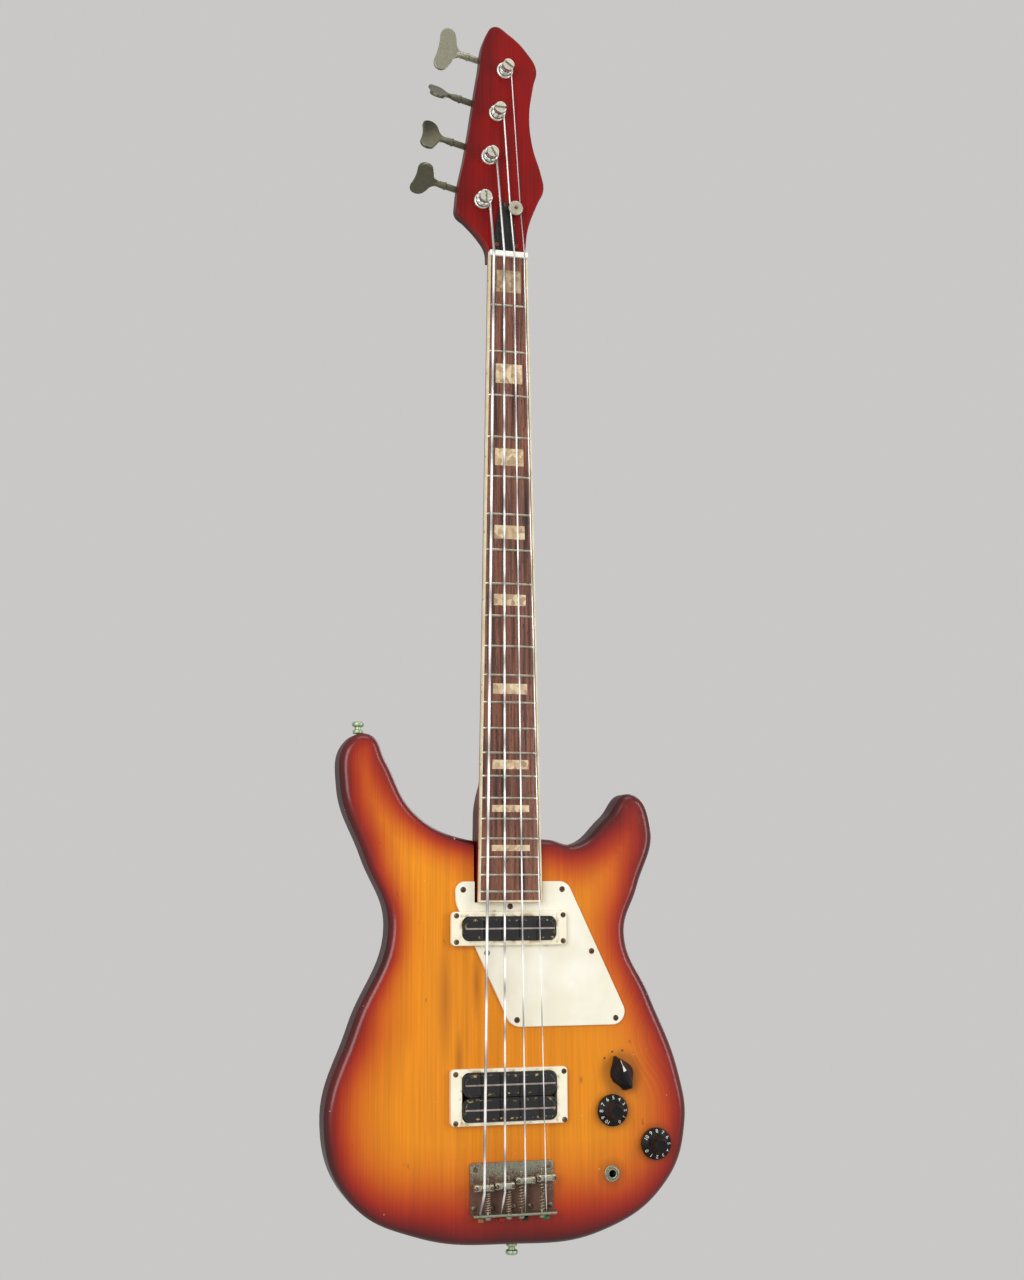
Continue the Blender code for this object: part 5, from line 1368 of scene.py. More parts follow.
@dataclass(frozen=True)
class Tuner:
    """Open-gear tuner: bushing, slotted post with its worm wheel, back plate and key with its worm."""

    name: str
    index: int
    key_angle: float            # turn of the key's blade about its shaft
    slot_angle: float           # turn of the slot in the post about the post's axis
    slope: float = 13.5
    head_y: float = 6.3
    plate_y: float = 21.6
    plate_back: float = 23.1
    worm_y: float = 27.4
    worm_z: float = 11.5
    post: float = 5.8
    teeth: int = 20
    half_wheel: float = 2.5     # half the wheel's thickness
    pitch: float = 2.592        # of the worm's thread
    threaded: float = 8.4       # length of the thread

    @property
    def place(self) -> Matrix:
        """The tuner's own frame: the post's foot, with X along the key's shaft."""
        x, z = RUN.posts[self.index]
        return Matrix.Translation((x, 0, z)) @ Matrix.Rotation(math.radians(self.slope), 4, "Y")

    def bushing(self, finish: Finish) -> None:
        """Flanged sleeve in the headstock's face."""
        face = SEAT - self.head_y
        profile = [
            (6.35, face + 1.5), (6.7, face + 1.7), (7.4, face + 1.65), (8.1, face + 1.2), (8.5, face + 0.5),
            (8.5, face), (7.6, face), (7.6, face - 9), (6.35, face - 9)]
        bushing = turned("bushing_" + self.name, profile, (0, 0, 0), steps=56, closed=True)
        moved(smooth(bushing, 30), self.place)
        put_on(bushing, "guitar", finish, "aged_nickel", "tuner_bushing_" + self.name)

    def wheel(self, depth: float, twist: float) -> list[Place]:
        """Outline of the toothed wheel at one depth."""
        points = []
        for tooth in range(self.teeth):
            middle = math.pi / 2 + 2 * math.pi * (tooth + 0.5) / self.teeth + twist
            for radius, half in ((7.1, -0.675), (8.9, -0.25), (8.9, 0.25), (7.1, 0.675)):
                turn = middle + half / radius
                points.append((radius * math.cos(turn), depth, radius * math.sin(turn)))
        return points

    def post_piece(self, finish: Finish) -> None:
        """Slotted post with its wheel behind the headstock."""
        top, r, waist = 9.1, self.post, RUN.post_waist
        wheel_top = -self.worm_y + self.half_wheel
        profile = [
            (0, top), (r - 0.7, top), (r - 0.2, top - 0.15), (r, top - 0.6), (r, top - 2.7),
            (r - 0.25, top - 3.1), (waist, top - 3.7), (waist, -3.3), (r, -4.5), (r, wheel_top),
            (3.6, wheel_top), (3.6, wheel_top - 6.2), (2.9, wheel_top - 6.8), (0, wheel_top - 6.8)]
        post = turned("post_" + self.name, profile, (0, 0, 0), steps=48)
        # The teeth lean as the thread does: 3.25 and 8.25 are the pitch radii of worm and wheel.
        twist = self.pitch / (2 * math.pi * 3.25) * self.half_wheel / 8.25
        wheel = loft("wheel", [
            self.wheel(self.worm_y + side * self.half_wheel, -side * twist) for side in (-1, 1)])
        carve(post, wheel, how=Cut.TOGETHER)
        groove = box("groove", (-r - 1, -top - 1, -1.15), (r + 1, -top + 4.4, 1.15))
        carve(post, moved(groove, Matrix.Rotation(math.radians(self.slot_angle), 4, "Y")))
        moved(smooth(post, 30), self.place)
        put_on(post, "post_" + self.name, finish, "aged_nickel", "tuner_post_" + self.name)

    def back_plate(self, finish: Finish, screw_finish: Finish) -> None:
        """Back plate with the two ears that hold the worm, and its four screws."""
        outline = rounded_rectangle((0, 2.5), 29, 32, 2.5)
        base = plate("plate_" + self.name, outline, self.plate_y, self.plate_back)
        round_rim(base, self.plate_back, 0.4, 2)
        for side in (-1, 1):
            near, far = sorted((side * 5.2, side * 7.2))
            ear = box("ear", (near, self.plate_back - 1, self.worm_z - 4.2), (far, 31.6, self.worm_z + 4.2))
            with editing(ear, "EDGE", everything=False):
                pick_edges(ear, lambda a, b: abs(a.x - b.x) > 1 and min(a.y, b.y) > 30)
                bpy.ops.mesh.bevel(offset=3.6 * MM, segments=6)
            carve(base, ear, how=Cut.TOGETHER)
        carve(
            base, rod("bore", (-20, self.worm_y, self.worm_z), (20, self.worm_y, self.worm_z), 3.0, 24),
            rod("hole", (0, 20, 0), (0, 25, 0), 6.5, 32))
        moved(smooth(base, 30), self.place)
        put_on(base, "guitar", finish, "aged_nickel", "tuner_plate_" + self.name)
        feet = [(x, self.plate_back, z) for x in (-11.4, 11.4) for z in (-10.2, 15.2)]
        ScrewHead(2.3, 0.8).drive(
            "plate_screws_" + self.name, feet, screw_finish, axis=TOWARDS_BACK, within=self.place)

    def thread(self) -> Piece:
        """Worm thread swept round the shaft."""
        turns = self.threaded / self.pitch
        steps = round(turns * 28)
        spin = math.radians(self.key_angle)
        sections = []
        for step in range(steps + 1):
            psi = 2 * math.pi * turns * (step / steps - 0.5)
            middle = self.pitch * psi / (2 * math.pi)
            corners = ((1.8, -0.8), (4.0, -0.3), (4.0, 0.3), (1.8, 0.8))
            sections.append([
                (middle + shift, radius * math.sin(psi - spin), -radius * math.cos(psi - spin))
                for radius, shift in corners])
        return loft("thread", sections)

    def blade(self) -> Piece:
        """The key's broad blade with two round lobes, its faces softly pillowed."""
        half = [
            (-41.0, 2.8), (-45.4, 3.6), (-48.8, 7.0), (-51.6, 14.6), (-55.0, 20.2), (-60.3, 22.3),
            (-65.0, 20.6), (-67.4, 16.0), (-66.8, 8.0), (-66.4, 2.6)]
        outline = anticlockwise(traced(half + [(x, -z) for x, z in reversed(half)], 6))
        blade = plate("blade", outline, -1.7, 1.7)
        round_rim(blade, -1.7, 1.1, 4)
        return round_rim(blade, 1.7, 1.1, 4)

    def key(self, finish: Finish) -> None:
        """Key with its shaft and collar, and the worm cut on it."""
        profile = [
            (0, 8.7), (2.2, 8.7), (2.5, 8.3), (2.5, 4.9), (2.2, 4.9), (2.2, -4.9), (2.5, -4.9), (2.5, -7.7),
            (3.2, -7.7), (3.4, -8.0), (3.4, -10.6), (3.15, -11.0), (3.15, -34.6), (3.9, -35.1), (3.9, -36.6),
            (3.4, -37.2), (3.3, -41.0), (2.4, -45.9), (1.0, -49.4), (0, -50.0)]
        key = turned("key_" + self.name, profile, (0, 0, 0), (1, 0, 0), 40)
        carve(key, self.blade(), self.thread(), how=Cut.TOGETHER)
        smooth(key, 30)
        spin = Matrix.Rotation(math.radians(self.key_angle), 4, "X")
        moved(key, self.place @ Matrix.Translation((0, self.worm_y, self.worm_z)) @ spin)
        put_on(key, "key_" + self.name, finish, "aged_nickel", "tuner_key_" + self.name)


@dataclass(frozen=True)
class Tuners:
    """The four tuners along the headstock's edge."""

    bright: AgedNickel = AgedNickel(
        "nickel_posts_and_bushings", 0.42, "#E2E0D4", "#BDBAA8", share=0.0, relief=0.05)
    dull: AgedNickel = AgedNickel(
        "nickel_keys_gone_grey_green", 0.44, "#9F9D8C", "#898773", share=0.02,
        patch=8.0, relief=0.04)
    # A darker copy of the keys' nickel: painted shade for the blades that turn away from the light.
    dark: AgedNickel = AgedNickel(
        "nickel_keys_with_painted_shade", 0.44, "#747260", "#605E4B", share=0.03,
        patch=8.0, relief=0.04)
    backs: AgedNickel = AgedNickel("nickel_back_plates", 0.44, "#A8A799", "#86846F", share=0.16)
    screws: AgedNickel = AgedNickel("rusted_tuner_screws", 0.55, "#7F776A", "#5E5348", share=0.4)
    angles: tuple[Flat, ...] = ((72.0, 76.5), (-32.0, 46.5), (-54.0, -13.5), (2.0, 21.5))

    def build(self) -> None:
        """Build all four."""
        bright, dull, dark, backs, screws = (
            finish.made() for finish in (self.bright, self.dull, self.dark, self.backs, self.screws))
        for index, name in enumerate(NAMES):
            key_angle, slot_angle = self.angles[index]
            tuner = Tuner(name, index, key_angle, slot_angle)
            tuner.bushing(bright)
            tuner.post_piece(bright)
            tuner.back_plate(backs, screws)
            # Painted shade: the keys of E, A and D, whose blades turn from the light, get the darker copy.
            tuner.key(dark if name in "ead" else dull)


@dataclass(frozen=True)
class Strings:
    """Four round-wound strings with their coloured balls behind the bridge."""

    finish: WoundSteel = WoundSteel("round_wound_nickel_string")
    balls: tuple[str, ...] = ("#A07C3A", "#A02A24", "#1C1C1E", "#2F7A48")

    def build(self) -> None:
        """Build all of them."""
        finish = self.finish.made()
        for index, name in enumerate(NAMES):
            string = wire("wound_string_" + name, RUN.route(index), RUN.diameters[index] / 2, 4)
            put_on(string, "guitar", finish, "wound_steel", "string_" + name)
            x, y, z = RUN.route(index)[0]
            profile = [(0, 2.5), (2.0, 2.5), (2.5, 2.0), (2.5, 0.7), (2.2, 0.3), (2.2, -0.3), (2.5, -0.7),
                       (2.5, -2.0), (2.0, -2.5), (0, -2.5)]
            ball = turned("ball_" + name, profile, (x, y, z), (1, 0, 0), 32)
            code = self.balls[index]
            lacquer = Mottled("lacquered_brass_ball_" + name, 0.35, code, code, metallic=0.4)
            put_on(smooth(ball), "guitar", lacquer.made(), "wound_steel")


@dataclass(frozen=True)
class Pickguard:
    """Cream guard with its bevelled rim, the notch round the neck and the neck pickup's window."""

    front: float = 8.3
    back: float = 10.7
    corners: tuple[Row, ...] = (
        (56.9, -597.7, 12), (-51, -597.7, 9), (-50.2, -618, 25), (2, -730.5, 14), (119.1, -730.5, 12))
    notch: float = 32.6
    notch_z: float = -617.0
    window: Row = (-0.6, -640.7, 92.0, 24.5)
    screws: tuple[Flat, ...] = (
        (-43.4, -605.2), (51.7, -605.1), (1.3, -620.6), (-20.9, -662.9), (80.1, -662.5),
        (7.5, -724.1), (103.2, -724.3))
    # The band round the pickup ring's outline is grime with painted shadow under the ring's edge.
    cream: FramedPlastic = FramedPlastic(
        "cream_guard_plastic", 0.36, "#EDE9D9", "#E5DFC9", mark="#A89468",
        frame=(-0.6, -640.7, 55.3, 15.5), inner=0.0, outer=2.0, share=0.5)
    rusty: AgedNickel = AgedNickel(
        "rusted_guard_screws", 0.55, "#7A6A5C", "#54443A", rust="#5A3524", share=0.75)

    def build(self) -> None:
        """Build it with its seven screws."""
        guard = plate("guard", filleted(self.corners), self.front, self.back)
        round_rim(guard, self.front, 0.8, 3)
        x, z, width, height = self.window
        window = rounded_rectangle((x, z), width, height, 7)
        top = self.corners[0][1] + REACH
        carve(
            guard, box("notch", (-self.notch, 0, self.notch_z), (self.notch, 15, top)),
            plate("window", window, 0, 15))
        put_on(smooth(guard, 30), "guitar", self.cream.made(), "cream_plastic", "pickguard")
        feet = [(sx, self.front, sz) for sx, sz in self.screws]
        ScrewHead(2.7, 0.9).drive("guard_screws", feet, self.rusty.made())


@dataclass(frozen=True)
class Pickup:
    """Cream mounting ring on four screws, with one or two stepped black bobbins and steel blades."""

    name: str
    z: float
    width: float
    seat: float                 # depth of what the ring lies on
    height: float
    coils: tuple[tuple[str, float], ...]
    screws: tuple[Flat, ...]
    x: float = -0.6
    length: float = 110.5
    coil_length: float = 89.0
    coil_width: float = 21.5
    coil_height: float = 21.0
    coil_rise: float = 3.0

    @property
    def ring_front(self) -> float:
        """Depth of the ring's face."""
        return self.seat - self.height

    def ring(self, screw_finish: Finish) -> None:
        """The ring, its window round the coils, and its screws."""
        body = plate(
            self.name + "_mount", rounded_rectangle((self.x, self.z), self.length, self.width, 4),
            self.ring_front, self.seat)
        round_rim(body, self.ring_front, 1.1, 4)
        count = len(self.coils)
        half_x, half_z = self.coil_length / 2 + 0.5, (count * self.coil_width + (count + 1) * 0.5) / 2
        opening = rounded_rectangle((self.x, self.z), 2 * half_x, 2 * half_z, 6.6, 10)
        carve(body, plate("window", opening, self.ring_front - REACH, self.seat + REACH))
        # The band round the coils' window is grime with painted shade between the ring and the raised
        # bobbins.
        cream = FramedPlastic(
            "cream_ring_plastic_" + self.name, 0.36, "#EFE9D2", "#E3DABB",
            mark="#96713A", frame=(self.x, self.z, half_x, half_z), inner=-0.5, outer=3.4, share=0.72,
            patch=7.0)
        put_on(smooth(body, 30), "guitar", cream.made(), "cream_plastic", self.name + "_ring")
        feet = [(sx, self.ring_front, sz) for sx, sz in self.screws]
        ScrewHead(2.5, 0.85).drive(self.name + "_ring_screws", feet, screw_finish)

    def coil(self, node: str, z: float) -> None:
        """A bobbin whose top is raised inside a shoulder."""
        front = self.ring_front - self.coil_rise
        outline = rounded_rectangle((self.x, z), self.coil_length, self.coil_width, 7)
        base = plate(node + "_bobbin", outline, front + 1.3, front + self.coil_height)
        round_rim(base, front + 1.3, 0.5, 2)
        raised = rounded_rectangle((self.x, z), self.coil_length - 3.4, self.coil_width - 3.4, 8.6, 12)
        top = plate("top", raised, front, front + 2.6)
        round_rim(top, front, 0.8, 4)
        groove = box("groove", (self.x - 42.6, front - 1, z - 1.0), (self.x + 42.6, front + 0.3, z + 1.0))
        carve(base, top, how=Cut.TOGETHER)
        carve(base, groove)
        plastic = FramedPlastic(
            "black_bobbin_plastic_" + node, 0.2, "#0C0C0D", "#17171A", coat=0.3,
            mark="#CDB26A", frame=(self.x, z, self.coil_length / 2 - 1.7, self.coil_width / 2 - 1.7),
            inner=-1.6, outer=1.0, share=0.46, patch=4.0, relief=0.02)
        put_on(smooth(base, 30), "guitar", plastic.made(), "black_plastic", node)

    def blades(self, finish: Finish) -> None:
        """The steel blades that show along the bobbins' middles."""
        front = self.ring_front - self.coil_rise
        bars = []
        for _, z in self.coils:
            bar = box("bar", (self.x - 42.5, front - 0.5, z - 0.8), (self.x + 42.5, front + 2, z + 0.8))
            bars.append(rounded(bar, 0.25, 2))
        made = fused(self.name + "_blades", bars)
        put_on(smooth(made), "guitar", finish, "steel")

    def build(self, screw_finish: Finish, blade_finish: Finish) -> None:
        """Build the whole pickup."""
        self.ring(screw_finish)
        for node, z in self.coils:
            self.coil(node, z)
        self.blades(blade_finish)


@dataclass(frozen=True)
class Pickups:
    """Single coil at the neck and two coils at the bridge."""

    neck: Pickup = Pickup(
        "neck_pickup", -640.7, 31.0, 8.0, 4.6, (("neck_pickup_coil", -640.7),),
        ((-51, -628.8), (51, -628.8), (-51, -652.6), (51, -652.6)))
    bridge: Pickup = Pickup(
        "bridge_pickup", -792.0, 50.6, 10.7, 6.0,
        (("bridge_pickup_coil_front", -781.0), ("bridge_pickup_coil_rear", -803.0)),
        ((-51.4, -771), (51.2, -771), (-51.4, -814.4), (51.4, -814.4)))
    rusty: AgedNickel = AgedNickel(
        "rusted_ring_screws", 0.55, "#8A7868", "#5E4C40", rust="#5A3524", share=0.7)
    blade: Mottled = Mottled("blade_steel", 0.3, "#D2C6C0", "#A8948C", metallic=1.0, patch=8.0)

    def build(self) -> None:
        """Build both."""
        screw, blade = self.rusty.made(), self.blade.made()
        self.neck.build(screw, blade)
        self.bridge.build(screw, blade)


@dataclass(frozen=True)
class Bridge:
    """Bent plate whose wall holds the strings, with four barrel saddles, their screws and springs."""

    x: float = 2.2
    width: float = 78.5
    front_z: float = -850.3
    back_z: float = -896.5
    seat: float = 10.7
    thickness: float = 2.3
    wall_top: float = -4.0
    pitch: float = 19.4
    barrel: float = 3.8
    barrel_length: float = 18.9
    offsets: Row = (3.8, 3.8, -3.8, -3.8)     # screw beside the middle of its barrel
    screw: float = 1.45
    height_screw: float = 7.4
    spring: float = 2.2
    wire: float = 0.8
    curls: int = 9
    plate_screws: tuple[Flat, ...] = (
        (-32, -855.9), (36.6, -854.8), (-33.2, -890), (-15.4, -890), (2.9, -890), (19.8, -890),
        (37.8, -890))
    plate_finish: AgedNickel = AgedNickel(
        "rusted_nickel_bridge_plate", 0.46, "#A3A393", "#7F806C", rust="#6A4B3D",
        share=0.45, patch=2.6, line_z=-856.0, line_depth=24.0, crust="#5C4237", curl=2.5)
    barrel_finish: AgedNickel = AgedNickel("nickel_barrels", 0.34, "#BDBDAE", "#96957F", share=0.14)
    screw_finish: AgedNickel = AgedNickel("aged_bridge_screws", 0.42, "#ACA999", "#7F7A69", share=0.3)
    socket_finish: AgedNickel = AgedNickel(
        "rusted_height_screws", 0.5, "#9A8F80", "#6E4A38", rust="#5C2A1C", share=1.0)
    spring_finish: AgedNickel = AgedNickel(
        "rusted_spring_steel", 0.6, "#C8B49C", "#A08670", rust="#7E5A46", share=0.4)
    head_finish: AgedNickel = AgedNickel(
        "rusted_bridge_screws", 0.5, "#8E8676", "#6A5848", rust="#583626", share=0.6)

    @property
    def top(self) -> float:
        """Depth of the plate's face."""
        return self.seat - self.thickness

    @property
    def axis_y(self) -> float:
        """Depth of the barrels' and screws' axes."""
        return self.barrel + SEAT - RUN.saddle_rise

    def barrel_x(self, index: int) -> float:
        """Sideways place of a barrel's middle."""
        return self.x + (index - 1.5) * self.pitch

    def plate_piece(self) -> None:
        """The plate, bent up at the back, with the screws that hold it."""
        middle = (self.front_z + self.back_z) / 2
        outline = rounded_rectangle((self.x, middle), self.width, self.front_z - self.back_z, 3.0)
        base = plate("bridge_base", outline, self.top, self.seat)
        round_rim(base, self.top, 0.5, 3)
        half = self.width / 2
        wall = box(
            "wall", (self.x - half, self.wall_top, self.back_z),
            (self.x + half, self.seat, self.back_z + self.thickness))
        with editing(wall, "EDGE", everything=False):
            pick_edges(wall, lambda a, b: max(a.y, b.y) < 0 or (
                abs(a.y - b.y) > 3 and a.z < self.back_z + 0.01))
            bpy.ops.mesh.bevel(offset=0.9 * MM, segments=4)
        carve(base, wall, how=Cut.TOGETHER)
        for index in range(4):
            screw_x = self.barrel_x(index) + self.offsets[index]
            ends = (self.back_z - 3, self.back_z + self.thickness + 3)
            carve(
                base,
                rod("bore", (screw_x, self.axis_y, ends[0]), (screw_x, self.axis_y, ends[1]), 1.75, 24),
                rod("hole", (RUN.hole_x(index), RUN.hole_y, ends[0]),
                    (RUN.hole_x(index), RUN.hole_y, ends[1]), RUN.diameters[index] / 2 + 0.4, 24))
        put_on(smooth(base, 30), "guitar", self.plate_finish.made(), "aged_nickel", "bridge_plate")
        feet = [(sx, self.top, sz) for sx, sz in self.plate_screws]
        ScrewHead(2.6, 0.9).drive("bridge_plate_screws", feet, self.head_finish.made(), "aged_nickel")

    def barrel_piece(self, index: int, name: str, finish: Finish, socket: Finish) -> None:
        """One barrel, chamfered at its ends, with its two height screws."""
        x, y, z = self.barrel_x(index), self.axis_y, RUN.saddle(index)[2]
        half, r = self.barrel_length / 2, self.barrel
        profile = [(0, half)] + [
            (radius, length) for radius, length in (
                (r - 1.4, half), (r - 0.5, half - 0.35), (r, half - 1.1), (r, half - 4.2),
                (r - 0.35, half - 4.5), (r - 0.35, 4.5 - half), (r, 4.2 - half), (r, 1.1 - half),
                (r - 0.5, 0.35 - half), (r - 1.4, -half))] + [(0, -half)]
        barrel = turned("barrel_" + name, profile, (x, y, z), (1, 0, 0), 56)
        screw_x = x + self.offsets[index]
        carve(barrel, rod("bore", (screw_x, y, z - 8), (screw_x, y, z + 8), self.screw + 0.2, 24))
        screws = []
        for side in (-1, 1):
            foot_x = x + side * self.height_screw
            carve(barrel, rod("seat", (foot_x, y - 8, z), (foot_x, y - r + 1.3, z), 1.75, 28))
            profile = [
                (0, r - 1.7), (0.85, r - 1.7), (0.85, r - 0.3), (1.45, r - 0.3), (1.65, r - 0.5),
                (1.65, r - 2.4), (1.3, r - 2.8), (1.3, y - self.top + SEAT + 0.4), (0.9, y - self.top + SEAT),
                (0, y - self.top + SEAT)]
            screws.append(turned("screw", profile, (foot_x, y, z), steps=28))
        put_on(smooth(barrel, 25), "saddle_" + name, finish, "aged_nickel", "saddle_" + name)
        made = fused("height_screws_" + name, screws)
        put_on(smooth(made), "saddle_" + name, socket, "aged_nickel")

    def intonation_screw(self, index: int, name: str, finish: Finish) -> None:
        """Long slotted screw through the wall, the spring and the barrel."""
        x, y = self.barrel_x(index) + self.offsets[index], self.axis_y
        tip = RUN.saddle(index)[2] + self.barrel + 5.0 - self.back_z
        r = self.screw
        thread = []
        for turn in range(int((tip - 4.4) / 0.7)):
            thread += [(r, tip - 1.2 - 0.7 * turn), (r - 0.3, tip - 1.55 - 0.7 * turn)]
        profile = [(0, tip), (r - 0.6, tip), (r, tip - 0.8), *thread, (r, -SEAT), (2.9, -SEAT), (2.9, -1.4),
                   (2.6, -2.1), (1.9, -2.7), (0, -3.0)]
        screw = turned("long_screw_" + name, profile, (x, y, self.back_z), (0, 0, 1), 32)
        carve(screw, box("slot", (x - 4, y - 0.4, self.back_z - 4), (x + 4, y + 0.4, self.back_z - 2.0)))
        put_on(
            smooth(screw, 40), "intonation_screw_" + name, finish, "aged_nickel",
            "intonation_screw_" + name)

    def spring_piece(self, index: int, name: str, finish: Finish) -> None:
        """Compression spring from the wall to its barrel."""
        x, y = self.barrel_x(index) + self.offsets[index], self.axis_y
        low = self.back_z + self.thickness + SEAT
        high = RUN.saddle(index)[2] - self.barrel - SEAT
        points, steps = [], 24
        for step in range(self.curls * steps + 1):
            angle = 2 * math.pi * step / steps
            rise = low + self.wire / 2 + (high - low - self.wire) * step / (self.curls * steps)
            points.append((x + self.spring * math.cos(angle), y + self.spring * math.sin(angle), rise))
        spring = wire("coil_spring_" + name, points, self.wire / 2, 3)
        spring.data.materials.append(finish)
        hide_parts("intonation_spring_" + name)
        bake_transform(spring)

    def build(self) -> None:
        """Build all of it."""
        self.plate_piece()
        barrel, screw, socket, spring = (finish.made() for finish in (
            self.barrel_finish, self.screw_finish, self.socket_finish, self.spring_finish))
        for index, name in enumerate(NAMES):
            self.barrel_piece(index, name, barrel, socket)
            self.intonation_screw(index, name, screw)
            self.spring_piece(index, name, spring)


@dataclass(frozen=True)
class Knob:
    """Numbered knob: a sloping skirt with its dial under a tapered grip, with its shaft."""

    name: str
    place: Flat
    number_up: float            # number that stands at the top
    floor: float = -10.2        # height of the underside, counted towards the player
    radius: float = 14.5
    height: float = 17.0
    top: float = 6.0
    digit: float = 3.6          # height of a digit

    def shape(self) -> Piece:
        """The knob's own shape, turned from its profile."""
        low, high = self.floor, self.floor + self.height
        r, t = self.radius, self.top
        profile = [
            (0, high - 0.35), (t - 2.4, high - 0.35), (t - 2.2, high - 0.1), (t - 1.0, high),
            (t - 0.3, high - 0.2), (t, high - 0.8), (t + 1.5, low + 7.6), (t + 1.9, low + 6.4),
            (r - 5.4, low + 4.6), (r - 0.5, low + 2.5), (r, low + 2.0), (r, low + 0.3), (r - 0.2, low),
            (7.5, low), (7.5, -HOLLOW), (3.0, -HOLLOW), (3.0, -24.0), (0, -24.0)]
        x, z = self.place
        knob = turned(self.name + "_cap", profile, (x, 0, z), steps=96)
        return smooth(knob, 28)

    def numbers(self) -> Piece:
        """Plain numbers from 0 to 10 round the skirt, which read from the rim inwards."""
        x, z = self.place
        start = Vector((self.radius - 5.4, self.floor + 4.6))
        end = Vector((self.radius - 0.5, self.floor + 2.5))
        slope = math.atan2(start.y - end.y, end.x - start.x)
        middle = (start + end) / 2
        made = []
        for number in range(11):
            turn = math.radians(90 + 30 * (number - self.number_up))
            let_go()
            bpy.ops.object.text_add(location=(0, 0, 0))
            text = bpy.context.object
            text.data.body = str(number)
            text.data.size = self.digit * 1.35 * MM
            text.data.align_x, text.data.align_y = "CENTER", "CENTER"
            text.data.extrude = 0.05 * MM
            text.data.resolution_u = 3
            bpy.ops.object.convert(target="MESH")
            # Letters lie in XY: tilt them to the skirt's slope, move them out and turn them round.
            lean = Matrix.Rotation(-slope, 4, "X")
            out = Matrix.Translation((0, middle.x, middle.y + 0.06))
            around = Matrix.Rotation(turn - math.pi / 2, 4, "Z")
            upright = Matrix.Rotation(math.pi / 2, 4, "X")
            moved(text, Matrix.Translation((x, 0, z)) @ upright @ around @ out @ lean)
            made.append(text)
        numbers = fused(self.name + "_numbers", made)
        return numbers

    def build(self, white: Finish) -> None:
        """Build the knob and its numbers."""
        plastic = KnobPlastic("black_phenolic_" + self.name, centre=self.place)
        put_on(self.shape(), self.name, plastic.made(), "black_plastic", self.name)
        put_on(self.numbers(), self.name, white, "cream_plastic")


@dataclass(frozen=True)
class Pointer:
    """Pointer knob of the selector: a drop-shaped skirt that rises to a narrow ridge."""

    place: Flat = (108.6, -775.1)
    angle: float = 113.0
    length: float = 32.0
    width: float = 22.0
    height: float = 15.0
    floor: float = -10.2

    def section(self, height: float, shrink: float, narrow: float, long: float) -> list[Place]:
        """Outline at a height, pointing along +X before it is turned."""
        length, half = self.length / 2 - shrink, self.width / 2 - shrink
        side = [
            (length * 1.06, 0.9), (length * 0.8, half * 0.34), (length * 0.55, half * 0.64),
            (length * 0.32, half * 0.88), (length * 0.05, half), (-length * 0.2, half * 0.96),
            (-length * 0.42, half * 0.8), (-length * 0.62, half * 0.6), (-length * 0.8, half * 0.5),
            (-length * 0.93, half * 0.42), (-length, half * 0.2)]
        outline = side + [(x, -z) for x, z in reversed(side)]
        turn = Matrix.Rotation(math.radians(self.angle), 2)
        points = []
        for x, z in outline:
            px, pz = turn @ Vector((x * long, z * narrow))
            points.append((self.place[0] + px, -height, self.place[1] + pz))
        return points

    def build(self, white: Finish) -> None:
        """Build the pointer with the white mark on its ridge: a printed line and a painted highlight."""
        f, h = self.floor, self.height
        steps = ((f, 0.0, 1.0, 1.0), (f + 3.2, 0.2, 1.0, 1.0), (f + 4.4, 0.8, 0.97, 1.0),
                 (f + 7.0, 1.1, 0.78, 1.0), (f + 10.0, 1.4, 0.56, 0.99), (f + h - 1.4, 1.6, 0.34, 0.97),
                 (f + h - 0.4, 1.7, 0.25, 0.95), (f + h, 1.8, 0.17, 0.92))
        knob = loft("pointer_cap", [self.section(*step) for step in steps])
        x, z = self.place
        carve(knob, rod("hollow", (x, -f + 1, z), (x, HOLLOW, z), 7.5))
        shaft = rod("shaft", (x, 28.0, z), (x, -f - 6, z), 3.0)
        carve(knob, shaft, how=Cut.TOGETHER)
        smooth(rounded(knob, 0.35, 2, 50), 40)
        plastic = KnobPlastic(
            "black_phenolic_pointer", centre=self.place, grip=(7.0, 10.0), tone="#14171C",
            dust="#2C2824")
        put_on(knob, "selector_knob", plastic.made(), "black_plastic", "selector_knob")
        turn = Matrix.Rotation(math.radians(self.angle), 2)
        # The thin white line towards the tip is the pointer's printed mark; the white wedge nearer the shaft
        # is a painted highlight.
        corners = ((14.2, 0.2), (14.2, -0.2), (9.4, -0.25), (3.4, -1.5), (3.4, 1.5), (9.4, 0.25))
        level = -f - h + 0.02
        mark = blank("pointer_line_and_glint", [
            (x + p.x, level, z + p.y) for p in (turn @ Vector(corner) for corner in corners)])
        with editing(mark):
            bpy.ops.mesh.extrude_region_move(TRANSFORM_OT_translate={"value": (0, -0.08 * MM, 0)})
            outwards()
        put_on(mark, "selector_knob", white, "cream_plastic")


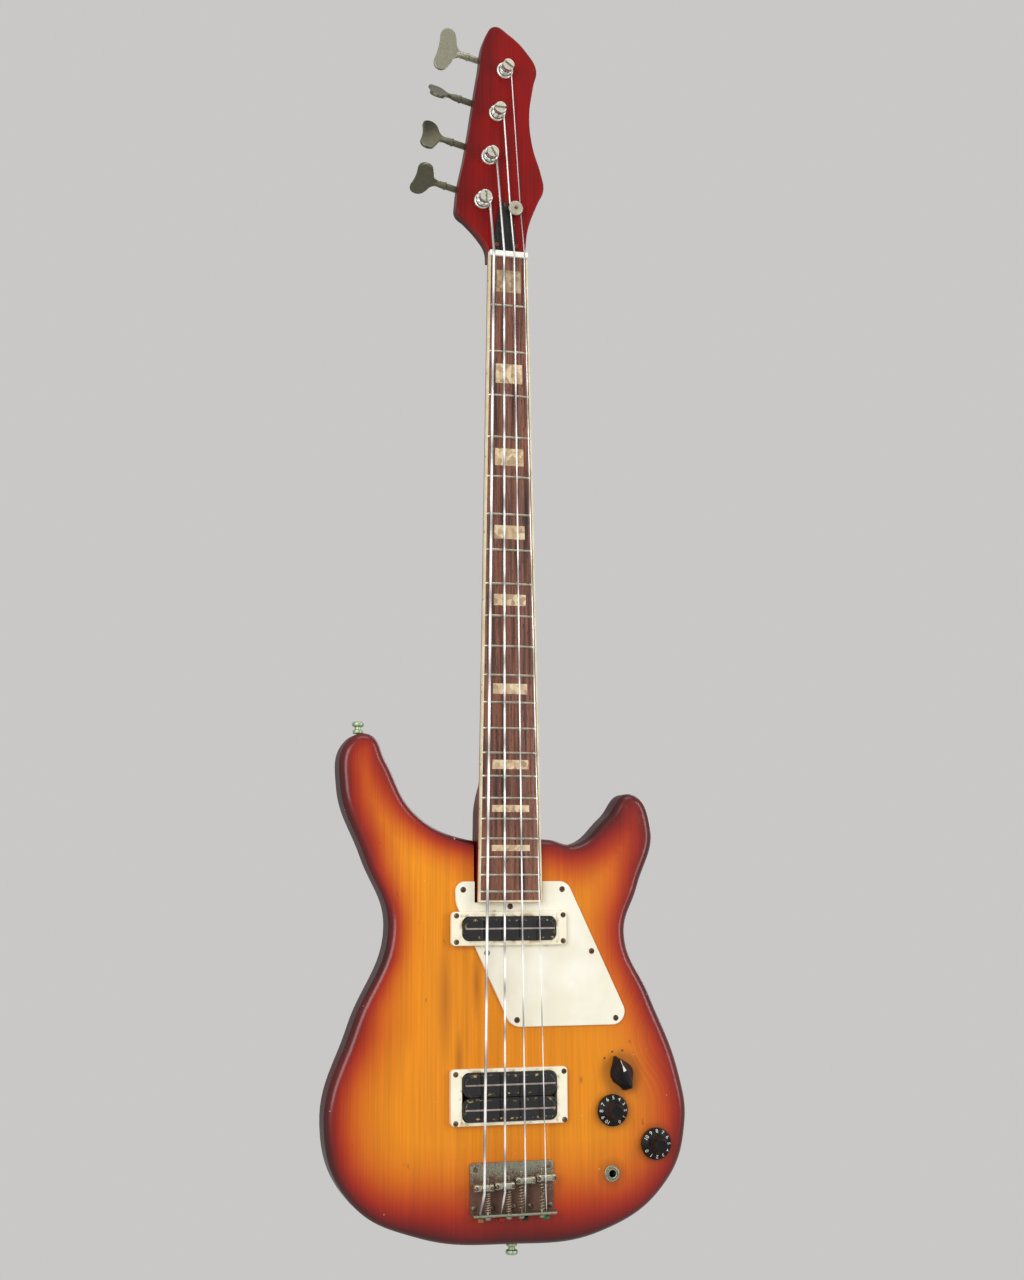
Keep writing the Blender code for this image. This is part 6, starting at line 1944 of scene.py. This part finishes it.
@dataclass(frozen=True)
class Controls:
    """Selector, volume and tone with their hidden bodies, and the output jack."""

    knobs: tuple[Knob, ...] = (
        Knob("volume_knob", (99.4, -808.4), 5.0), Knob("tone_knob", (141.7, -840.2), 8.0))
    pointer: Pointer = Pointer()
    dots: tuple[Flat, ...] = ((92.6, -761.1), (100.3, -755.4), (110.2, -754.5))
    jack: Flat = (98.7, -865.5)
    white: Mottled = Mottled("white_paint", 0.5, "#E6E4DC", "#CFCBBE", patch=3.0)
    paint: Mottled = Mottled("dark_paint_dots", 0.5, "#3A3836", "#4A3A2C")
    nickel: AgedNickel = AgedNickel("greenish_nickel_jack", 0.36, "#B5B6A2", "#8C8D74", share=0.12)
    inside: AgedNickel = AgedNickel("nickel_under_the_lid", 0.45, "#9C9A8C", "#7E7A68", share=0.1)

    def jack_pieces(self) -> None:
        """Jack with its open bore, and its six-sided nut on a washer."""
        x, z = self.jack
        top, lid = -8.2, -16.3
        profile = [
            (3.3, top - 0.6), (3.9, top), (4.4, top), (4.7, top - 0.3), (4.7, lid), (8.0, lid),
            (8.0, lid - 2), (4.7, lid - 2), (4.7, -32.0), (3.3, -32.0)]
        jack = turned("jack_sleeve", profile, (x, 0, z), steps=56, closed=True)
        finish = self.nickel.made()
        put_on(smooth(jack, 30), "guitar", finish, "aged_nickel", "output_jack")
        face, washer, bore = 8.5, 9.9, 5.1
        profile = [(bore, -washer), (7.0, -washer), (7.4, -washer - 0.35), (7.4, -10.7), (bore, -10.7)]
        nut = turned("jack_hexagon_nut", profile, (x, 0, z), steps=56, closed=True)
        corners = [
            (x + 6.6 * math.cos(turn), z + 6.6 * math.sin(turn))
            for turn in (0.3 + math.pi / 3 * corner for corner in range(6))]
        hexagon = round_rim(plate("hexagon", corners, face, washer + 0.2), face, 0.35, 2)
        carve(hexagon, rod("bore", (x, 5, z), (x, 12, z), bore, 56))
        carve(nut, hexagon, how=Cut.TOGETHER)
        put_on(smooth(nut, 30), "guitar", finish, "aged_nickel", "jack_nut")

    def build(self) -> None:
        """Build all of it."""
        white = self.white.made()
        for knob in self.knobs:
            knob.build(white)
        self.pointer.build(white)
        discs = [rod("dot", (x, 10.94, z), (x, 11.4, z), 1.05, 20) for x, z in self.dots]
        made = fused("selector_dots", discs)
        put_on(made, "guitar", self.paint.made(), "black_plastic")
        self.jack_pieces()
        metal = self.inside.made()
        for node in ("volume_pot", "tone_pot", "selector_switch"):
            coat_hidden(node, metal)


@dataclass(frozen=True)
class BackPlates:
    """Cover of the control cavity and the bolted plate behind the neck."""

    back: float = 49.0
    cover_knots: tuple[Flat, ...] = Body.cavity
    plate_z: float = -589.0
    plate_width: float = 50.0
    plate_length: float = 62.0
    black: Mottled = Mottled("black_back_cover_plastic", 0.42, "#151516", "#202022", patch=14.0)
    nickel: AgedNickel = AgedNickel(
        "aged_nickel_neck_plate", 0.34, "#B4B3A4", "#94927F", share=0.14, patch=5.0)
    screws: AgedNickel = AgedNickel("aged_back_screws", 0.45, "#9A968A", "#6C6456", share=0.35)
    cover_screws: tuple[Flat, ...] = (
        (112, -745.8), (151.5, -768), (161.8, -820), (146, -868), (96.5, -886.5), (73.6, -858), (74.2, -782))

    def cover(self) -> None:
        """The cover, flush with the back."""
        cavity = anticlockwise(traced(self.cover_knots, 10))
        cover = plate("cavity_cover", grown(cavity, 5.7), self.back - 2.2, self.back)
        round_rim(cover, self.back, 0.35, 2)
        put_on(smooth(cover, 30), "guitar", self.black.made(), "black_plastic", "control_cover")
        feet = [(x, self.back, z) for x, z in self.cover_screws]
        ScrewHead(2.2, 0.7).drive("cover_screws", feet, self.screws.made(), axis=TOWARDS_BACK)

    def neck_plate(self) -> None:
        """The plate with its four sunk screws."""
        low, high = self.back + SEAT, self.back + 1.6
        outline = rounded_rectangle((0, self.plate_z), self.plate_width, self.plate_length, 5)
        base = plate("bolted_neck_plate", outline, low, high)
        round_rim(base, high, 0.5, 3)
        feet = [(x, high - 0.15, self.plate_z + z) for x in (-18.5, 18.5) for z in (-24.5, 24.5)]
        for x, y, z in feet:
            carve(base, rod("seat", (x, y - 0.5, z), (x, y + 2, z), 4.0, 40))
        put_on(smooth(base, 30), "guitar", self.nickel.made(), "aged_nickel", "neck_plate")
        ScrewHead(3.7, 0.62, 0.4).drive("neck_screws", feet, self.screws.made(), axis=TOWARDS_BACK)

    def build(self) -> None:
        """Build both."""
        self.cover()
        self.neck_plate()


@dataclass(frozen=True)
class StrapButtons:
    """Waisted buttons at the horn and at the tail, each on its screw."""

    places: tuple[tuple[str, float, float, int], ...] = (
        ("horn", -138.5, -461.33, 1), ("tail", 7.5, -925.03, -1))
    y: float = 30.0
    nickel: AgedNickel = AgedNickel("greenish_nickel_buttons", 0.52, "#BAC8A8", "#94A684", share=0.08)

    def build(self) -> None:
        """Build both, each with the cross of its screw in the end."""
        finish = self.nickel.made()
        for name, x, z, way in self.places:
            profile = [
                (0, 10.6), (2.2, 10.6), (2.5, 11.1), (4.1, 11.0), (5.1, 10.5), (5.7, 9.5), (5.75, 8.3),
                (5.4, 7.2), (4.4, 6.6), (3.4, 6.2), (3.2, 5.3), (3.2, 4.3), (3.5, 3.6), (4.6, 3.3),
                (5.0, 2.8), (5.05, 1.2), (4.7, 0.3), (4.5, 0), (0, 0)]
            button = turned("button_" + name, profile, (x, self.y, z), (0, 0, way), 48)
            put_on(smooth(button, 30), "guitar", finish, "aged_nickel", "strap_button_" + name)
            foot = (x, self.y, z + way * 10.62)
            ScrewHead(2.1, 0.45, 0.2, 0.5, 0.7).drive(
                "button_screw_" + name, [foot], finish, axis=(0, 0, way))


# Studio and camera

@dataclass(frozen=True)
class Studio:
    """Pale floor under the hanging instrument, a plain pale surround and broad soft lights."""

    floor_z: float = -1.25
    floor_radius: float = 1.1
    surround: str = "#C9C8C6"
    ambient: float = 0.5        # strength of the surround where it lights the instrument
    lights: tuple[tuple[str, Place, Flat, float], ...] = (
        ("key", (-1.5, -1.8, 0.0), (1.2, 1.7), 33.0),
        ("fill", (1.7, -1.7, -0.2), (0.7, 1.6), 20.0),
        ("top", (0.1, -0.7, 1.5), (1.6, 0.9), 12.0),
        ("back", (1.5, 1.5, 0.3), (1.0, 1.6), 14.0))
    aim: Place = (0.0, 0.0, -0.5)

    def light(self, name: str, place: Place, size: Flat, power: float) -> None:
        """Hang one soft light that faces the instrument."""
        let_go()
        bpy.ops.object.light_add(type="AREA", location=place)
        lamp = bpy.context.object
        lamp.name = lamp.data.name = name + "_light"
        lamp.rotation_euler = (Vector(self.aim) - Vector(place)).to_track_quat("-Z", "Y").to_euler()
        lamp.data.shape = "RECTANGLE"
        lamp.data.size, lamp.data.size_y = size
        lamp.data.energy = power

    def floor(self) -> None:
        """Lay the floor well under the body."""
        let_go()
        bpy.ops.mesh.primitive_circle_add(
            vertices=96, radius=self.floor_radius, fill_type="NGON", location=(0, 0, self.floor_z))
        floor = bpy.context.object
        floor.name = floor.data.name = "studio_floor"
        material = bpy.data.materials.new("pale_floor")
        material.use_nodes = True
        shader = material.node_tree.nodes["Principled BSDF"]
        shader.inputs["Base Color"].default_value = linear(self.surround)
        shader.inputs["Roughness"].default_value = 0.8
        floor.data.materials.append(material)

    def surroundings(self) -> None:
        """Show the surround to the camera and in the metal, and light the scene with a dimmer one."""
        world = bpy.data.worlds.new("surround")
        world.use_nodes = True
        bpy.context.scene.world = world
        tree = world.node_tree
        tree.nodes.clear()
        shown = add(tree, "Background", {"Color": self.surround, "Strength": 1.0})
        cast = add(tree, "Background", {"Color": "#FFFFFF", "Strength": self.ambient})
        path = add(tree, "LightPath")
        sight = path.outputs["Is Camera Ray"]
        for ray in ("Is Glossy Ray", "Is Transmission Ray"):
            sight = add(tree, "Math MAXIMUM", {0: sight, 1: path.outputs[ray]})
        seen = add(tree, "MixShader", {0: sight, 1: cast, 2: shown})
        add(tree, "OutputWorld", {"Surface": seen})

    def build(self) -> None:
        """Set up all of it."""
        self.floor()
        self.surroundings()
        for light in self.lights:
            self.light(*light)


@dataclass(frozen=True)
class Camera:
    """The camera that took the photograph, found from points on the instrument."""

    lens: float = 51.15
    place: Place = (-0.45510, -1.63046, -0.59899)
    right: Place = (0.96303775, -0.26933402, -0.00417928)
    up: Place = (-0.03164085, -0.12851645, 0.99120249)
    forward: Place = (0.26750166, 0.95443319, 0.13228815)

    def build(self) -> None:
        """Add it and make it the scene's camera."""
        let_go()
        bpy.ops.object.camera_add()
        camera = bpy.context.object
        camera.name = camera.data.name = "camera"
        camera.data.lens = self.lens
        camera.data.sensor_width = 36.0
        camera.data.sensor_fit = "AUTO"
        matrix = Matrix((self.right, self.up, -Vector(self.forward))).transposed().to_4x4()
        matrix.translation = self.place
        camera.matrix_world = matrix
        bpy.context.scene.camera = camera
        bpy.context.scene.view_settings.view_transform = "Standard"


def write_size() -> None:
    """Bring the view layer up to date."""
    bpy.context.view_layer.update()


def main() -> None:
    """Build the instrument piece by piece, then the studio and the camera."""
    logging.basicConfig(level=logging.INFO, format="%(message)s")
    Body().build()
    Neck().build()
    Fingerboard().build()
    HeadFittings().build()
    Tuners().build()
    Pickguard().build()
    Pickups().build()
    Bridge().build()
    Strings().build()
    Controls().build()
    BackPlates().build()
    StrapButtons().build()
    write_size()
    Studio().build()
    Camera().build()


if __name__ == "__main__":
    main()
